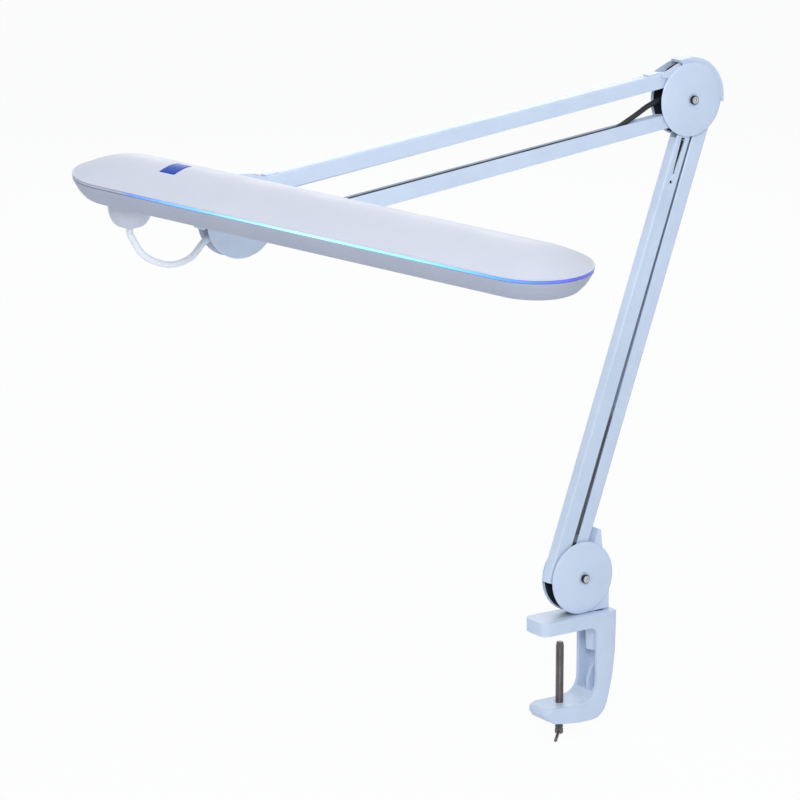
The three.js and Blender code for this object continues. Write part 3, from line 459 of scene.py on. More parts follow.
def finish_for(slot):
    """The finish of one material slot of the record, made on first use."""
    name = "Finish " + slot
    known = bpy.data.materials.get(name)
    if known:
        return known
    if slot == "light_strip":
        return strip_material(name)
    colours = bpy.context.scene.lamp_colours
    pale_blue = [min(1.0, channel * 1.2 + 0.004) for channel in colours.pad[:3]] + [1.0]
    # Colour, worn colour, grain scale, bump, least and most roughness, patch strength and scale
    coated = {
        "casting": (colours.casting, linear(186, 196, 220), 700.0, 0.22, 0.34, 0.52, 0.35),
        "painted_steel": (colours.paint, linear(189, 199, 224), 1100.0, 0.12, 0.28, 0.42, 0.3),
        "head_plastic": (colours.shell, linear(198, 201, 214), 1600.0, 0.16, 0.4, 0.55, 0.3),
        # The tray's colour and worn colour hold painted shade of the side wall.
        "tray_plastic": (colours.tray, linear(164, 170, 188), 1500.0, 0.2, 0.42, 0.58, 0.3),
        "black_plastic": (linear(26, 30, 40), linear(52, 58, 70), 1200.0, 0.35, 0.38, 0.6, 0.5),
        "black_rubber": (linear(30, 34, 40), linear(56, 60, 68), 1500.0, 0.3, 0.5, 0.72, 0.5),
        "white_cord": (colours.cord, linear(226, 231, 239), 1400.0, 0.06, 0.3, 0.42, 0.2, 45.0),
        "opal_plastic": (linear(238, 241, 247), linear(224, 229, 239), 1300.0, 0.08, 0.25, 0.4, 0.3),
        "board": (linear(232, 232, 224), linear(214, 205, 160), 900.0, 0.1, 0.3, 0.5, 0.6, 90.0),
        "blue_pad": (colours.pad, pale_blue, 1500.0, 0.05, 0.3, 0.42, 0.15, 70.0),
    }
    # Colour, worn colour, line scale, least and most roughness, patch strength
    metals = {
        "clamp_steel": (colours.dark_steel, linear(76, 71, 69), 500.0, 0.26, 0.48, 0.6),
        "zinc_steel": (linear(192, 195, 200), linear(150, 154, 162), 900.0, 0.14, 0.3),
        "spring_steel": (linear(176, 180, 186), linear(132, 137, 146), 1200.0, 0.2, 0.38),
    }
    extras = {
        "opal_plastic": {"Emission_Color": linear(240, 246, 255), "Emission_Strength": 0.12},
        "blue_pad": {"Specular_IOR_Level": 0.12},
    }
    if slot in metals:
        return metal_material(name, *metals[slot])
    return mottled_material(name, *coated[slot], **extras.get(slot, {}))


# Making of meshes

def finished_object(name, mesh, slot_name, body, *nodes):
    """An object that rides on a body, stands for nodes and has its slot's finish."""
    piece = bpy.data.objects.new(name, mesh)
    bpy.context.scene.collection.objects.link(piece)
    mesh.materials.clear()
    mesh.materials.append(finish_for(slot_name))
    if body:
        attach(piece, body)
    if nodes:
        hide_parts(*nodes)
    return piece


def to_mesh(bm, name, placement=None, sharp=35.0, turn_out=True):
    """The finished mesh of a bmesh: in its place, merged, turned outwards and smooth."""
    if placement is not None:
        bmesh.ops.transform(bm, matrix=placement, verts=bm.verts)
    bmesh.ops.remove_doubles(bm, verts=bm.verts, dist=1e-7)
    if turn_out:
        bmesh.ops.recalc_face_normals(bm, faces=bm.faces)
    mesh = bpy.data.meshes.new(name)
    bm.to_mesh(mesh)
    bm.free()
    mesh.polygons.foreach_set("use_smooth", [True] * len(mesh.polygons))
    mesh.set_sharp_from_angle(angle=math.radians(sharp))
    return mesh


def shaped(bm, name, slot_name, body, *nodes, placement=None, sharp=35.0):
    """The finished object of a bmesh."""
    return finished_object(name, to_mesh(bm, name, placement, sharp), slot_name, body, *nodes)


def round_edges(piece, width, segments=2, angle=35.0):
    """Rounds a piece's sharp edges with a live bevel."""
    bevel = piece.modifiers.new("Round Edges", "BEVEL")
    bevel.width = width
    bevel.segments = segments
    bevel.limit_method = "ANGLE"
    bevel.angle_limit = math.radians(angle)
    bevel.use_clamp_overlap = True
    bevel.harden_normals = True
    bevel.miter_outer = "MITER_ARC"
    return piece


def softened(node, width, segments=2):
    """A merged copy of a CAD node with flat faces joined and its edges rounded."""
    source = frame["nodes"][node]
    bm = bmesh.new()
    bm.from_mesh(source.data)
    bmesh.ops.remove_doubles(bm, verts=bm.verts, dist=1e-6)
    bmesh.ops.dissolve_limit(
        bm, angle_limit=math.radians(0.5), use_dissolve_boundaries=False, verts=bm.verts, edges=bm.edges)
    mesh = to_mesh(bm, "soft_" + node, turn_out=False)
    piece = finished_object("soft_" + node, mesh, NODE_SLOTS[node], source["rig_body"], node)
    return round_edges(piece, width, segments)


def spun(name, profile, steps, placement, slot_name, body, *nodes, sharp=35.0):
    """A turned piece: a profile of (radius, height) spun about its own Z axis."""
    bm = bmesh.new()
    points = [bm.verts.new((radius, 0, height)) for radius, height in profile]
    edges = [bm.edges.new(pair) for pair in zip(points, points[1:])]
    bmesh.ops.spin(
        bm, geom=points + edges, cent=(0, 0, 0), axis=(0, 0, 1), dvec=(0, 0, 0),
        angle=math.tau, steps=steps, use_merge=True, use_duplicate=False)
    return shaped(bm, name, slot_name, body, *nodes, placement=placement, sharp=sharp)


def head_ring_place(angle, inset, height):
    """A point of the head's outline, moved in by inset."""
    straight = HEAD_HALF_LENGTH - HEAD_END
    side = 1 if math.cos(angle) > 0 else -1
    x = HEAD_MIDDLE + side * straight + (HEAD_END - inset) * math.cos(angle)
    return Vector((x, (HEAD_HALF_WIDTH - inset) * math.sin(angle), height))


def window_place(angle, inset, height):
    """A point of the window's outline at about the same place round it."""
    half_length = WINDOW_HALF_LENGTH - inset
    half_width = WINDOW_HALF_WIDTH - inset
    corner = max(WINDOW_ROUND - inset, 0.001)
    share_x, share_y = math.cos(angle), math.sin(angle)
    reach_x, reach_y = half_length - corner, half_width - corner
    side_x = 1 if share_x > 0 else -1
    side_y = 1 if share_y > 0 else -1
    return Vector((
        WINDOW_MIDDLE + side_x * reach_x + corner * share_x, side_y * reach_y + corner * share_y, height))


def lofted(rings, steps, cap_start, cap_end):
    """A skin through rings of (place, inset, height), from a circle that is extruded ring by ring."""
    bm = bmesh.new()
    start = bmesh.ops.create_circle(bm, cap_ends=False, segments=steps, radius=1)
    loop = list(start["verts"])
    angles = [math.tau * (i + 0.5) / steps for i in range(steps)]
    first, inset, height = rings[0]
    for vert, angle in zip(loop, angles):
        vert.co = first(angle, inset, height)
    if cap_start:
        bm.faces.new(loop)
    for place, inset, height in rings[1:]:
        edges = [bm.edges.get((loop[i], loop[(i + 1) % steps])) for i in range(steps)]
        grown = bmesh.ops.extrude_edge_only(bm, edges=edges)
        fresh = {v for v in grown["geom"] if isinstance(v, bmesh.types.BMVert)}
        following = []
        for vert in loop:
            following.append(next(e.other_vert(vert) for e in vert.link_edges if e.other_vert(vert) in fresh))
        for vert, angle in zip(following, angles):
            vert.co = place(angle, inset, height)
        loop = following
    if cap_end:
        bm.faces.new(loop)
    return bm


def dome_height(inset):
    """Height of the head's crown at a distance in from its outline."""
    return DOME_FLOOR + DOME_RISE * (1 - (1 - min(inset / HEAD_HALF_WIDTH, 1)) ** DOME_POWER)


def smooth_route(points, step=0.0015):
    """Points close together on a smooth line through the given ones."""
    route = [Vector(p) for p in points]
    ends = [route[0] * 2 - route[1]] + route + [route[-1] * 2 - route[-2]]
    line = []
    for before, a, b, after in zip(ends, ends[1:], ends[2:], ends[3:]):
        count = max(2, round((b - a).length / step))
        for i in range(count):
            t = i / count
            line.append(0.5 * (
                2 * a + (b - before) * t + (2 * before - 5 * a + 4 * b - after) * t * t
                + (3 * a - before - 3 * b + after) * t ** 3))
    line.append(route[-1])
    return line


def tube_mesh(name, line, radius, sides=4):
    """A capped round tube along a line, made from a bevelled curve."""
    curve = bpy.data.curves.new(name, "CURVE")
    curve.dimensions = "3D"
    curve.bevel_depth = radius
    curve.bevel_resolution = sides
    curve.use_fill_caps = True
    spline = curve.splines.new("POLY")
    spline.points.add(len(line) - 1)
    for point, place in zip(spline.points, line):
        point.co = (*place, 1.0)
    holder = bpy.data.objects.new(name, curve)
    bpy.context.scene.collection.objects.link(holder)
    bpy.context.view_layer.update()
    graph = bpy.context.evaluated_depsgraph_get()
    mesh = bpy.data.meshes.new_from_object(holder.evaluated_get(graph))
    bpy.data.objects.remove(holder)
    mesh.polygons.foreach_set("use_smooth", [True] * len(mesh.polygons))
    mesh.set_sharp_from_angle(angle=math.radians(50))
    return mesh


def tube_piece(name, line, radius, slot_name, body, node, sides=4):
    """The finished object of a round tube along a line."""
    return finished_object(name, tube_mesh(name, line, radius, sides), slot_name, body, node)


class LAMP_OT_stage(bpy.types.Operator):
    """Set the camera, the pale floor, the white surround and the soft lamps"""
    bl_idname = "lamp.stage"
    bl_label = "Stage"

    def execute(self, context):
        self.add_camera(context)
        self.add_floor(context)
        self.add_surround(context)
        self.add_lamps(context)
        context.scene.view_settings.view_transform = "Standard"
        return {"FINISHED"}

    def add_camera(self, context):
        data = bpy.data.cameras.new("Camera")
        data.sensor_width = 36
        data.lens = CAMERA_LENS
        data.clip_start = 0.1
        data.clip_end = 100
        camera = bpy.data.objects.new("Camera", data)
        camera.location = CAMERA_PLACE
        pitch = math.radians(CAMERA_PITCH)
        east, north = CAMERA_HEADING
        ahead = Vector((east * math.cos(pitch), north * math.cos(pitch), math.sin(pitch)))
        camera.rotation_euler = ahead.to_track_quat("-Z", "Y").to_euler()
        context.scene.collection.objects.link(camera)
        context.scene.camera = camera

    def add_floor(self, context):
        bm = bmesh.new()
        bmesh.ops.create_grid(bm, x_segments=1, y_segments=1, size=12)
        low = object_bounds()[0].z - 0.002
        mesh = to_mesh(bm, "floor", Matrix.Translation((0, 0, low)))
        floor = bpy.data.objects.new("floor", mesh)
        context.scene.collection.objects.link(floor)
        material, tree, shader, _ = new_material("Pale Floor")
        pale = (0.93, 0.935, 0.95, 1)
        set_inputs(shader, {"Base Color": pale, "Roughness": 0.9, "Specular IOR Level": 0.1})
        glow = add_node(tree, "ShaderNodeEmission", 0, -250, Color=(1, 1, 1, 1), Strength=1.0)
        path = add_node(tree, "ShaderNodeLightPath", -500, 300)
        seen = add_maths(tree, "MAXIMUM", -250, 300)
        share = add_maths(tree, "MULTIPLY", -50, 300)
        share.inputs[1].default_value = 0.94
        blend = add_node(tree, "ShaderNodeMixShader", 200, 0)
        join(
            tree,
            (path, "Is Camera Ray", seen, 0), (path, "Is Glossy Ray", seen, 1), (seen, 0, share, 0),
            (share, 0, blend, "Fac"), (shader, "BSDF", blend, 1), (glow, "Emission", blend, 2),
            (blend, "Shader", tree.nodes["Material Output"], "Surface"))
        mesh.materials.append(material)
        floor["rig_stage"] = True

    def add_surround(self, context):
        world = bpy.data.worlds.new("Surround")
        context.scene.world = world
        world.use_nodes = True
        tree = world.node_tree
        soft = tree.nodes["Background"]
        set_inputs(soft, {"Color": (0.86, 0.92, 1.0, 1), "Strength": 0.52})
        white = add_node(tree, "ShaderNodeBackground", -100, -200, Color=(1, 1, 1, 1), Strength=1.0)
        path = add_node(tree, "ShaderNodeLightPath", -600, 200)
        first = add_maths(tree, "MAXIMUM", -400, 200)
        second = add_maths(tree, "MAXIMUM", -200, 200)
        blend = add_node(tree, "ShaderNodeMixShader", 100, 0)
        join(
            tree,
            (path, "Is Camera Ray", first, 0), (path, "Is Glossy Ray", first, 1),
            (first, 0, second, 0), (path, "Is Transmission Ray", second, 1), (second, 0, blend, "Fac"),
            (soft, "Background", blend, 1), (white, "Background", blend, 2),
            (blend, "Shader", tree.nodes["World Output"], "Surface"))

    def add_lamps(self, context):
        # Name, place, width in metres, power in watts and colour
        places = [
            ("overhead", (-0.6, -0.3, 2.2), 1.6, 7.5, (1.0, 0.99, 0.97)),
            ("left_front", (-1.7, -2.2, 1.7), 1.2, 38.0, (0.97, 0.99, 1.0)),
            ("rear", (1.4, 2.4, 1.5), 1.6, 11.0, (0.96, 0.98, 1.0)),
        ]
        for name, place, size, power, colour in places:
            data = bpy.data.lights.new(name, "AREA")
            data.shape = "DISK"
            data.size = size
            data.energy = power
            data.color = colour
            lamp = bpy.data.objects.new(name, data)
            lamp.location = place
            aim = LAMP_AIM - Vector(place)
            lamp.rotation_euler = aim.to_track_quat("-Z", "Y").to_euler()
            context.scene.collection.objects.link(lamp)


class LAMP_OT_cords(bpy.types.Operator):
    """Lay the white cord under the head and the black cord through the arms"""
    bl_idname = "lamp.cords"
    bl_label = "Cords"

    def execute(self, context):
        self.lay_head_cord()
        self.lay_elbow_cord()
        upper = arm_placement(UPPER_BOTTOM_PIVOT, UPPER_ALONG)
        lower = arm_placement(LOWER_INNER_PIVOT, LOWER_ALONG)
        self.lay_in_channel("upper_cord_sheath", UPPER_CORD_POINTS, upper, "upper_bottom", "upper_cord")
        self.lay_in_channel("lower_cord_sheath", LOWER_CORD_POINTS, lower, "lower_inner", "lower_cord")
        return {"FINISHED"}

    def lay_head_cord(self):
        """The white cord in two lengths that meet under the neck, one for each joint that it crosses."""
        line = smooth_route([HEAD_CENTRE + Vector(p) * MM for p in HEAD_CORD_POINTS])
        half = len(line) * 9 // 20
        cup_end, arm_end = line[:half + 1], line[half:][::-1]
        self.lay_free_length("head_cord_cup_end", cup_end, "hub", 8)
        self.lay_free_length("head_cord_arm_end", arm_end, "head_joint", 12)

    def lay_free_length(self, name, line, body, held):
        """A free length of the white cord, laid in place with no body to hold it."""
        piece = tube_piece(name, line, HEAD_CORD_RADIUS, "white_cord", None, "head_cord")
        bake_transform(piece)

    def lay_elbow_cord(self):
        line = smooth_route([ELBOW_CENTRE + Vector(p) * MM for p in ELBOW_CORD_POINTS])
        piece = tube_piece("elbow_cord_sheath", line, BLACK_CORD_RADIUS, "black_rubber", None, "elbow_cord")
        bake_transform(piece)

    def lay_in_channel(self, name, points, placement, body, node):
        line = [placement @ p for p in smooth_route([Vector(p) * MM for p in points], 0.004)]
        tube_piece(name, line, BLACK_CORD_RADIUS, "black_rubber", body, node)


class LAMP_OT_head(bpy.types.Operator):
    """Make the head's cover, edge light, tray, touch pad and window"""
    bl_idname = "lamp.head"
    bl_label = "Head"

    def execute(self, context):
        steps = context.scene.lamp_sizes.ring_steps
        self.make_cover(steps)
        self.make_strip(steps)
        self.make_tray(steps)
        self.make_pad()
        self.make_diffuser(steps)
        return {"FINISHED"}

    def make_cover(self, steps):
        shares = [0.985, 0.95, 0.9, 0.84, 0.77, 0.69, 0.6, 0.51, 0.42, 0.33, 0.25, 0.17, 0.1, 0.05, 0.022]
        outer = [(head_ring_place, HEAD_HALF_WIDTH * s, dome_height(HEAD_HALF_WIDTH * s)) for s in shares]
        rim = [
            (head_ring_place, 0.0003, DOME_FLOOR + 0.0006), (head_ring_place, 0.00008, DOME_FLOOR + 0.0003),
            (head_ring_place, 0.0002, DOME_FLOOR), (head_ring_place, 0.0021, DOME_FLOOR)]
        inner = []
        for share in reversed(shares[1:-2]):
            inset = SHELL_WALL + (HEAD_HALF_WIDTH - SHELL_WALL) * share
            inner.append((head_ring_place, inset, dome_height(inset - SHELL_WALL) - SHELL_WALL))
        bm = lofted(outer + rim + inner, steps, True, True)
        shaped(
            bm, "head_cover", "head_plastic", "head", "head_top_shell", placement=HEAD_PLACEMENT, sharp=40)

    def make_strip(self, steps):
        low, high = 0.0175, 0.0198
        inner, flat, lip, lip_height = 0.006, 0.0007, 0.0002, 0.0004
        bulge = [(inner, low), (flat, low), (lip, low + lip_height), (0, (low + high) / 2)]
        bulge += [(lip, high - lip_height), (flat, high), (inner, high), (inner, low)]
        bm = lofted([(head_ring_place, inset, height) for inset, height in bulge], steps, False, False)
        shaped(bm, "edge_light", "light_strip", "head", "light_strip", placement=HEAD_PLACEMENT)

    def make_tray(self, steps):
        outer = [
            (0.0003, 0.0172), (0.0005, 0.016), (0.0024, 0.0122), (0.0042, 0.0092), (0.0052, 0.0074),
            (0.007, 0.0052), (0.0094, 0.0026), (0.0108, 0.0011), (0.0123, 0.0003), (0.0134, 0)]
        rings = [(head_ring_place, inset, height) for inset, height in outer]
        rings += [(window_place, -0.0006, 0), (window_place, 0, 0.0005), (window_place, 0, 0.002)]
        inner = [(0.0150, 0.002), (0.0112, 0.0036), (0.0074, 0.0082), (0.0028, 0.0160), (0.0023, 0.0172)]
        rings += [(head_ring_place, inset, height) for inset, height in inner]
        rings.append((head_ring_place, *outer[0]))
        bm = lofted(rings, steps, False, False)
        shaped(
            bm, "head_lower_tray", "tray_plastic", "head", "head_tray", placement=HEAD_PLACEMENT, sharp=40)

    def make_diffuser(self, steps):
        profile = [(0.0008, 0.001), (0.0004, 0.0012), (0.0003, 0.0018), (-0.0028, 0.0022), (-0.0028, 0.0087)]
        rings = [(window_place, inset, height) for inset, height in profile]
        bm = lofted(rings, steps, True, True)
        shaped(bm, "opal_window", "opal_plastic", "head", "diffuser", placement=HEAD_PLACEMENT, sharp=40)

    def make_pad(self):
        bm = bmesh.new()
        bmesh.ops.create_grid(bm, x_segments=24, y_segments=36, size=1)
        middle, half = Vector((0.0523, -0.005)), Vector((0.008, 0.0125))
        corner, slope, seat, rise = 0.0011, 0.0008, 0.00005, 0.00025
        for vert in bm.verts:
            x, y = vert.co.x * half.x, vert.co.y * half.y
            over = Vector((max(abs(x) - half.x + corner, 0), max(abs(y) - half.y + corner, 0)))
            if over.length > corner:
                kept = over.normalized() * corner
                x = math.copysign(half.x - corner + kept.x, x)
                y = math.copysign(half.y - corner + kept.y, y)
            place = Vector((middle.x + x, middle.y + y))
            edge = min(half.x - abs(x), half.y - abs(y), slope)
            lift = seat + rise * math.sqrt(max(edge, 0) / slope)
            vert.co = (place.x, place.y, dome_height(HEAD_HALF_WIDTH - abs(place.y)) + lift)
        piece = shaped(bm, "blue_touch_pad", "blue_pad", "head", "touch_pad", placement=HEAD_PLACEMENT)
        sheet = piece.modifiers.new("Thickness", "SOLIDIFY")
        sheet.thickness = 0.0009
        sheet.offset = -1


class LAMP_OT_discs(bpy.types.Operator):
    """Make the six disc covers with their bolts and nuts"""
    bl_idname = "lamp.discs"
    bl_label = "Disc covers"

    def execute(self, context):
        steps = context.scene.lamp_sizes.disc_steps
        for joint, centre in (("base", BASE_CENTRE), ("elbow", ELBOW_CENTRE), ("head_joint", HEAD_CENTRE)):
            front = Matrix.Translation(centre) @ Matrix.Rotation(math.pi / 2, 4, "X")
            back = Matrix.Translation(centre) @ Matrix.Rotation(-math.pi / 2, 4, "X")
            for side, placement in (("front", front), ("back", back)):
                node = f"{joint}_cover_{side}"
                profile = self.cover_profile()
                spun("disc_" + node, profile, steps, placement, "painted_steel", joint, node)
            self.make_bolt(joint, front, back)
        return {"FINISHED"}

    def cover_profile(self):
        base, rim = COVER_SEAT, COVER_SEAT + COVER_RIM
        crown = rim + COVER_RISE
        edge, inner = DISC_RADIUS - 0.0005, DISC_RADIUS - 0.0009
        dish, dish_slope, rings = 0.0062, 0.0005, 16
        hole = BOLT_RADIUS + 0.0003
        top = [(DISC_RADIUS, base), (DISC_RADIUS, rim - 0.0004)]
        top += [(DISC_RADIUS - 0.00012, rim - 0.0001), (edge, rim + 0.0002)]
        for step in range(1, rings):
            radius = edge * (1 - step / rings)
            if radius > dish:
                share = 1 - (radius / DISC_RADIUS) ** 2
                top.append((radius, rim + COVER_RISE * share ** 0.9))
        top += [(dish, crown - 0.0001), (dish - dish_slope, crown - 0.00035)]
        top += [(hole, crown - 0.0004), (hole, crown - 0.0011)]
        return top + [(0.02, crown - 0.0022), (inner, rim - 0.0007), (inner, base), (DISC_RADIUS, base)]

    def painted_reflection_rim_material(self):
        """Dark edge of the polished bolt heads, a painted dark reflection."""
        name = "Painted Dark Reflection Rim"
        known = bpy.data.materials.get(name)
        return known or metal_material(name, linear(62, 66, 74), linear(40, 43, 50), 900.0, 0.14, 0.3)

    def make_bolt(self, joint, front, back):
        low = COVER_SEAT + COVER_RIM + COVER_RISE - 0.0004
        socket, face, widest, tip = 0.0132, 0.0148, 0.00425, -0.0159
        head = [
            (0, socket), (0.0016, socket), (0.0019, socket + 0.0002), (0.0019, face - 0.0002), (0.0022, face),
            (0.0034, face), (0.004, face - 0.0003), (widest, face - 0.0009), (widest, low + 0.0004),
            (0.0041, low + 0.00015), (BOLT_RADIUS, low + 0.00015), (BOLT_RADIUS, tip + 0.0004),
            (BOLT_RADIUS - 0.0003, tip), (0, tip)]
        bolt = spun(joint + "_bolt_head", head, 48, front, "zinc_steel", joint, joint + "_bolt")
        # Faces round the bolt head's outer edge take the painted dark reflection.
        bolt.data.materials.append(self.painted_reflection_rim_material())
        inward = front.inverted()
        for face in bolt.data.polygons:
            place = inward @ face.center
            if place.z > 0 and math.hypot(place.x, place.y) > BOLT_RADIUS - 0.0001:
                face.material_index = 1
        bm = bmesh.new()
        bmesh.ops.create_cone(
            bm, cap_ends=True, segments=6, radius1=0.005, radius2=0.005, depth=0.004,
            matrix=Matrix.Translation((0, 0, 0.014)))
        name = joint + "_hex_nut"
        nut = shaped(bm, name, "zinc_steel", joint, joint + "_nut", placement=back, sharp=30)
        round_edges(nut, 0.0004, 3, 30)


class LAMP_OT_springs(bpy.types.Operator):
    """Wind the two springs in the channels"""
    bl_idname = "lamp.springs"
    bl_label = "Springs"

    def execute(self, context):
        sizes = context.scene.lamp_sizes
        lower = arm_placement(LOWER_PIVOT, LOWER_ALONG)
        upper = arm_placement(UPPER_PIVOT, UPPER_ALONG)
        self.wind("lower_spring_coil", lower, "lower_outer", "lower_spring", sizes)
        self.wind("upper_spring_coil", upper, "upper_top", "upper_spring", sizes)
        return {"FINISHED"}

    def wind(self, name, placement, body, node, sizes):
        coil = 0.0039 - sizes.wire_radius
        start, length, per_turn = 0.0223, 0.115, 12
        near_tail, far_tail, bend = 0.0066, 0.008, 0.002
        line = [Vector((start - near_tail, 0, 0)), Vector((start - bend, 0, 0))]
        for i in range(sizes.spring_turns * per_turn + 1):
            angle = math.tau * i / per_turn
            share = i / (sizes.spring_turns * per_turn)
            line.append(Vector((start + length * share, coil * math.cos(angle), coil * math.sin(angle))))
        line += [Vector((start + length + past, 0, 0)) for past in (bend, far_tail)]
        route = [placement @ p for p in line]
        tube_piece(name, route, sizes.wire_radius, "spring_steel", body, node, 1)


class LAMP_OT_cup(bpy.types.Operator):
    """Turn the cup under the head and its washer"""
    bl_idname = "lamp.cup"
    bl_label = "Cup"

    def execute(self, context):
        top, bottom, radius = 0.0085, -0.0175, 0.0195
        lip, wall, floor = 0.0007, 0.0035, bottom + 0.0065
        profile = [(0, top), (radius - lip, top), (radius - 0.0002, top - 0.0002), (radius, top - lip)]
        # Shares of the radius and of the depth down the bowl
        bowl = [
            (1, 0.12), (0.992, 0.22), (0.982, 0.31), (0.965, 0.4), (0.943, 0.49),
            (0.914, 0.58), (0.875, 0.66), (0.825, 0.74), (0.765, 0.81), (0.69, 0.87),
            (0.6, 0.92), (0.5, 0.956), (0.39, 0.98), (0.27, 0.992)]
        profile += [(radius * share, top + (bottom - top) * drop) for share, drop in bowl]
        profile += [(0.004, bottom + 0.0003), (wall, bottom + 0.0008), (wall, floor), (0, floor)]
        spun("cup", profile, 80, CUP_PLACEMENT, "head_plastic", "hub", "hub_cup", sharp=50)
        hole, rim, under, over, chamfer = 0.0053, 0.014, -0.00135, -0.00015, 0.0002
        washer = [
            (hole, under), (rim - chamfer, under), (rim, under + chamfer), (rim, -0.0005),
            (rim - chamfer, over), (hole, over), (hole, under)]
        spun("cup_washer", washer, 64, HEAD_PLACEMENT, "black_plastic", "head", "swivel_washer")
        return {"FINISHED"}


class LAMP_OT_clamp_screw(bpy.types.Operator):
    """Cut the clamp screw's thread and round its bar"""
    bl_idname = "lamp.clamp_screw"
    bl_label = "Clamp screw"

    def execute(self, context):
        sizes = context.scene.lamp_sizes
        top, bottom, core, crest = -0.0127, -0.1037, 0.00335, 0.004
        collar = 0.0046
        rod = [
            (0, top), (0.0027, top), (0.0033, top - 0.0006), (core, top - 0.001),
            (core, bottom + collar + 0.0006), (0.0039, bottom + collar + 0.0003),
            (crest, bottom + collar), (crest, bottom + 0.0006), (0.0035, bottom), (0, bottom)]
        spun("clamp_screw_core", rod, 40, Matrix.Identity(4), "clamp_steel", "screw", "clamp_screw")
        pitch = sizes.thread_pitch
        turns = int((top - bottom - 0.0075) / pitch)
        bm = bmesh.new()
        root, tip, root_half, tip_half = core - 0.0002, crest - 0.0001, 0.48, 0.08
        profile = [(root, -root_half), (tip, -tip_half), (tip, tip_half), (root, root_half)]
        points = [bm.verts.new((radius, 0, bottom + 0.0056 + share * pitch)) for radius, share in profile]
        edges = [bm.edges.new(pair) for pair in zip(points, points[1:])]
        per_turn = 20
        bmesh.ops.spin(
            bm, geom=points + edges, cent=(0, 0, 0), axis=(0, 0, 1), dvec=(0, 0, pitch / per_turn),
            angle=math.tau * turns, steps=per_turn * turns, use_merge=False, use_duplicate=False)
        shaped(bm, "clamp_screw_thread", "clamp_steel", "screw", sharp=60)
        softened("tommy_bar", 0.0004, 3)
        return {"FINISHED"}


class LAMP_OT_sheet_pieces(bpy.types.Operator):
    """Round the edges of the channels, brackets and neck"""
    bl_idname = "lamp.sheet_pieces"
    bl_label = "Channels and brackets"

    def execute(self, context):
        width = context.scene.lamp_sizes.edge_round
        for node in (
            "lower_outer_channel", "lower_inner_channel", "upper_top_channel", "upper_bottom_channel",
            "base_bracket", "elbow_bracket", "head_joint_bracket",
        ):
            softened(node, width * 0.6, 2)
        softened("neck_bar", width, 3)
        return {"FINISHED"}


class LAMP_OT_clamp(bpy.types.Operator):
    """Make the clamp's casting with its boss and gusset"""
    bl_idname = "lamp.clamp"
    bl_label = "Clamp"

    def execute(self, context):
        bm = self.cast_frame()
        self.hollow_column(bm)
        casting = shaped(bm, "clamp_casting", "casting", "clamp", "clamp_frame", sharp=40)
        round_edges(casting, context.scene.lamp_sizes.casting_round, 4, 40)
        self.add_boss_and_rib()
        softened("swivel_bush", context.scene.lamp_sizes.small_round)
        return {"FINISHED"}

    def cast_frame(self):
        """The C of the casting, built up from its near side with rounded tips."""
        levels = [-CASTING_HALF_WIDTH, -0.0162, -0.0152, -0.0139, -0.0125, -0.0105, -0.0085]
        levels += [-level for level in reversed(levels)]
        bm = bmesh.new()
        first = [bm.verts.new((x * MM, levels[0], z * MM)) for x, z in CLAMP_OUTLINE]
        face = bm.faces.new(first)
        for low, high in zip(levels, levels[1:]):
            grown = bmesh.ops.extrude_face_region(bm, geom=[face])
            verts = [v for v in grown["geom"] if isinstance(v, bmesh.types.BMVert)]
            bmesh.ops.translate(bm, verts=verts, vec=(0, high - low, 0))
            if low != levels[0]:
                bmesh.ops.delete(bm, geom=[face], context="FACES_ONLY")
            face = next(f for f in grown["geom"] if isinstance(f, bmesh.types.BMFace))
        for vert in bm.verts:
            vert.co.x += self.corner_shift(vert.co)
        return bm

    def corner_shift(self, place):
        """How far a point of the outline moves in where the casting's plan is rounded."""
        tip, back, tips_end, back_starts = 0.008, 0.003, -0.018, 0.034
        tip_over = max(abs(place.y) - CASTING_HALF_WIDTH + tip, 0)
        back_over = max(abs(place.y) - CASTING_HALF_WIDTH + back, 0)
        if place.x < tips_end:
            return tip - math.sqrt(max(tip * tip - tip_over * tip_over, 0))
        if place.x > back_starts:
            return math.sqrt(max(back * back - back_over * back_over, 0)) - back
        return 0

    def hollow_column(self, bm):
        """Sinks the throat's side of the column between its two walls."""
        half_width, depth = 0.0125, 0.0125
        near, far, low, high = 0.026, 0.033, -0.066, -0.003
        sunk = []
        for face in bm.faces:
            centre = face.calc_center_median()
            inside = abs(centre.y) < half_width and near < centre.x < far and low < centre.z < high
            if inside and face.normal.x < -0.5:
                sunk.append(face)
        if not sunk:
            raise RuntimeError("the clamp's column has no face to hollow")
        grown = bmesh.ops.extrude_face_region(bm, geom=sunk)
        verts = [v for v in grown["geom"] if isinstance(v, bmesh.types.BMVert)]
        bmesh.ops.translate(bm, verts=verts, vec=(depth, 0, 0))
        bmesh.ops.delete(bm, geom=[f for f in sunk if f.is_valid], context="FACES")

    def add_boss_and_rib(self):
        """The spindle's boss and the gusset inside the column."""
        bm = bmesh.new()
        bmesh.ops.create_cone(
            bm, cap_ends=True, segments=48, radius1=0.0082, radius2=0.0085, depth=0.024,
            matrix=Matrix.Translation((0.0407, 0, -0.014)))
        round_edges(shaped(bm, "spindle_boss", "casting", "clamp", sharp=40), 0.0008, 3)
        bm = bmesh.new()
        outline = [(46, -27), (46, -66), (33, -67), (32.5, -56), (36, -46), (41, -38)]
        thickness = 0.004
        verts = [bm.verts.new((x * MM, -thickness / 2, z * MM)) for x, z in outline]
        grown = bmesh.ops.extrude_face_region(bm, geom=[bm.faces.new(verts)])
        top = [v for v in grown["geom"] if isinstance(v, bmesh.types.BMVert)]
        bmesh.ops.translate(bm, verts=top, vec=(0, thickness, 0))
        round_edges(shaped(bm, "column_gusset", "casting", "clamp", sharp=40), 0.0006, 3)


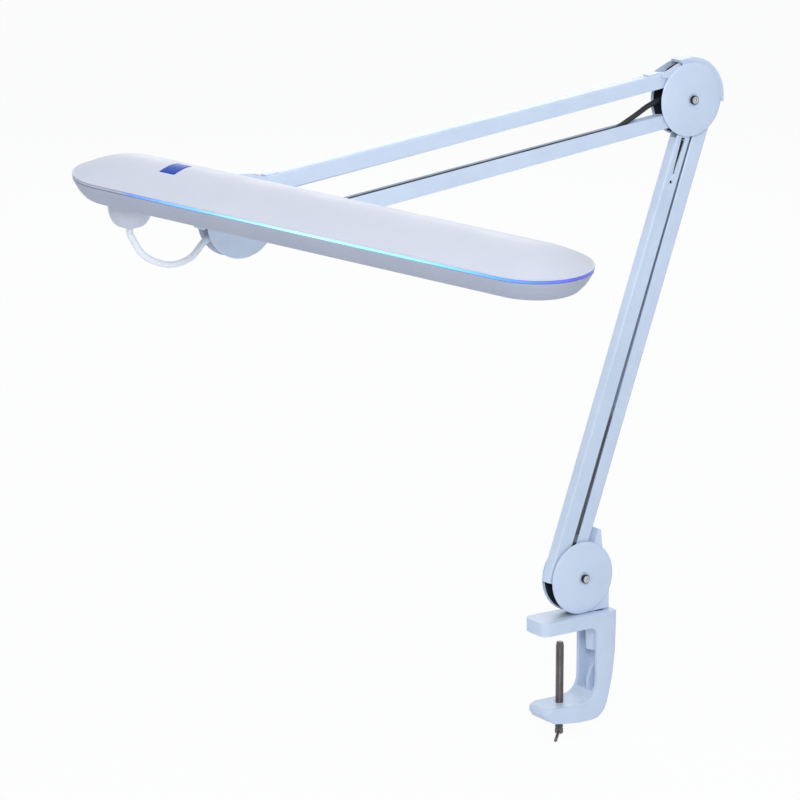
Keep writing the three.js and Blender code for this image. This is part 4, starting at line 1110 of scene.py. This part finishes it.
class LAMP_OT_small_pieces(bpy.types.Operator):
    """Round the pins, screws, spools and inner pieces"""
    bl_idname = "lamp.small_pieces"
    bl_label = "Small pieces"

    def execute(self, context):
        width = context.scene.lamp_sizes.small_round
        shown = [n for n in NODE_SLOTS if n in frame["nodes"] and not frame["nodes"][n].hide_render]
        for node in shown:
            softened(node, width)
        left = [n for n, o in frame["nodes"].items() if not o.hide_render]
        if left:
            raise RuntimeError("pieces with no finish: " + ", ".join(sorted(left)))
        return {"FINISHED"}


class LAMP_PT_pieces(bpy.types.Panel):
    """Lists the lamp's pieces"""
    bl_label = "Swing Arm Desk Lamp"
    bl_idname = "LAMP_PT_pieces"
    bl_space_type = "VIEW_3D"
    bl_region_type = "UI"
    bl_category = "Lamp"

    def draw(self, context):
        column = self.layout.column(align=True)
        for operator in OPERATORS:
            column.operator(operator.bl_idname)
        for group in (context.scene.lamp_colours, context.scene.lamp_sizes):
            box = self.layout.box()
            for name in group.__annotations__:
                box.prop(group, name)


OPERATORS = (
    LAMP_OT_stage, LAMP_OT_cords, LAMP_OT_head, LAMP_OT_discs, LAMP_OT_springs, LAMP_OT_cup,
    LAMP_OT_clamp_screw, LAMP_OT_sheet_pieces, LAMP_OT_clamp, LAMP_OT_small_pieces,
)
CLASSES = (LampColours, LampSizes, *OPERATORS, LAMP_PT_pieces)


def register():
    for kind in CLASSES:
        bpy.utils.register_class(kind)
    bpy.types.Scene.lamp_colours = PointerProperty(type=LampColours)
    bpy.types.Scene.lamp_sizes = PointerProperty(type=LampSizes)


def unregister():
    del bpy.types.Scene.lamp_sizes
    del bpy.types.Scene.lamp_colours
    for kind in reversed(CLASSES):
        bpy.utils.unregister_class(kind)


def main():
    register()
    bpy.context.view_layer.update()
    bpy.ops.lamp.stage()
    bpy.ops.lamp.cords()
    bpy.ops.lamp.head()
    bpy.ops.lamp.discs()
    bpy.ops.lamp.springs()
    bpy.ops.lamp.cup()
    bpy.ops.lamp.clamp_screw()
    bpy.ops.lamp.sheet_pieces()
    bpy.ops.lamp.clamp()
    bpy.ops.lamp.small_pieces()


if __name__ == "__main__":
    main()
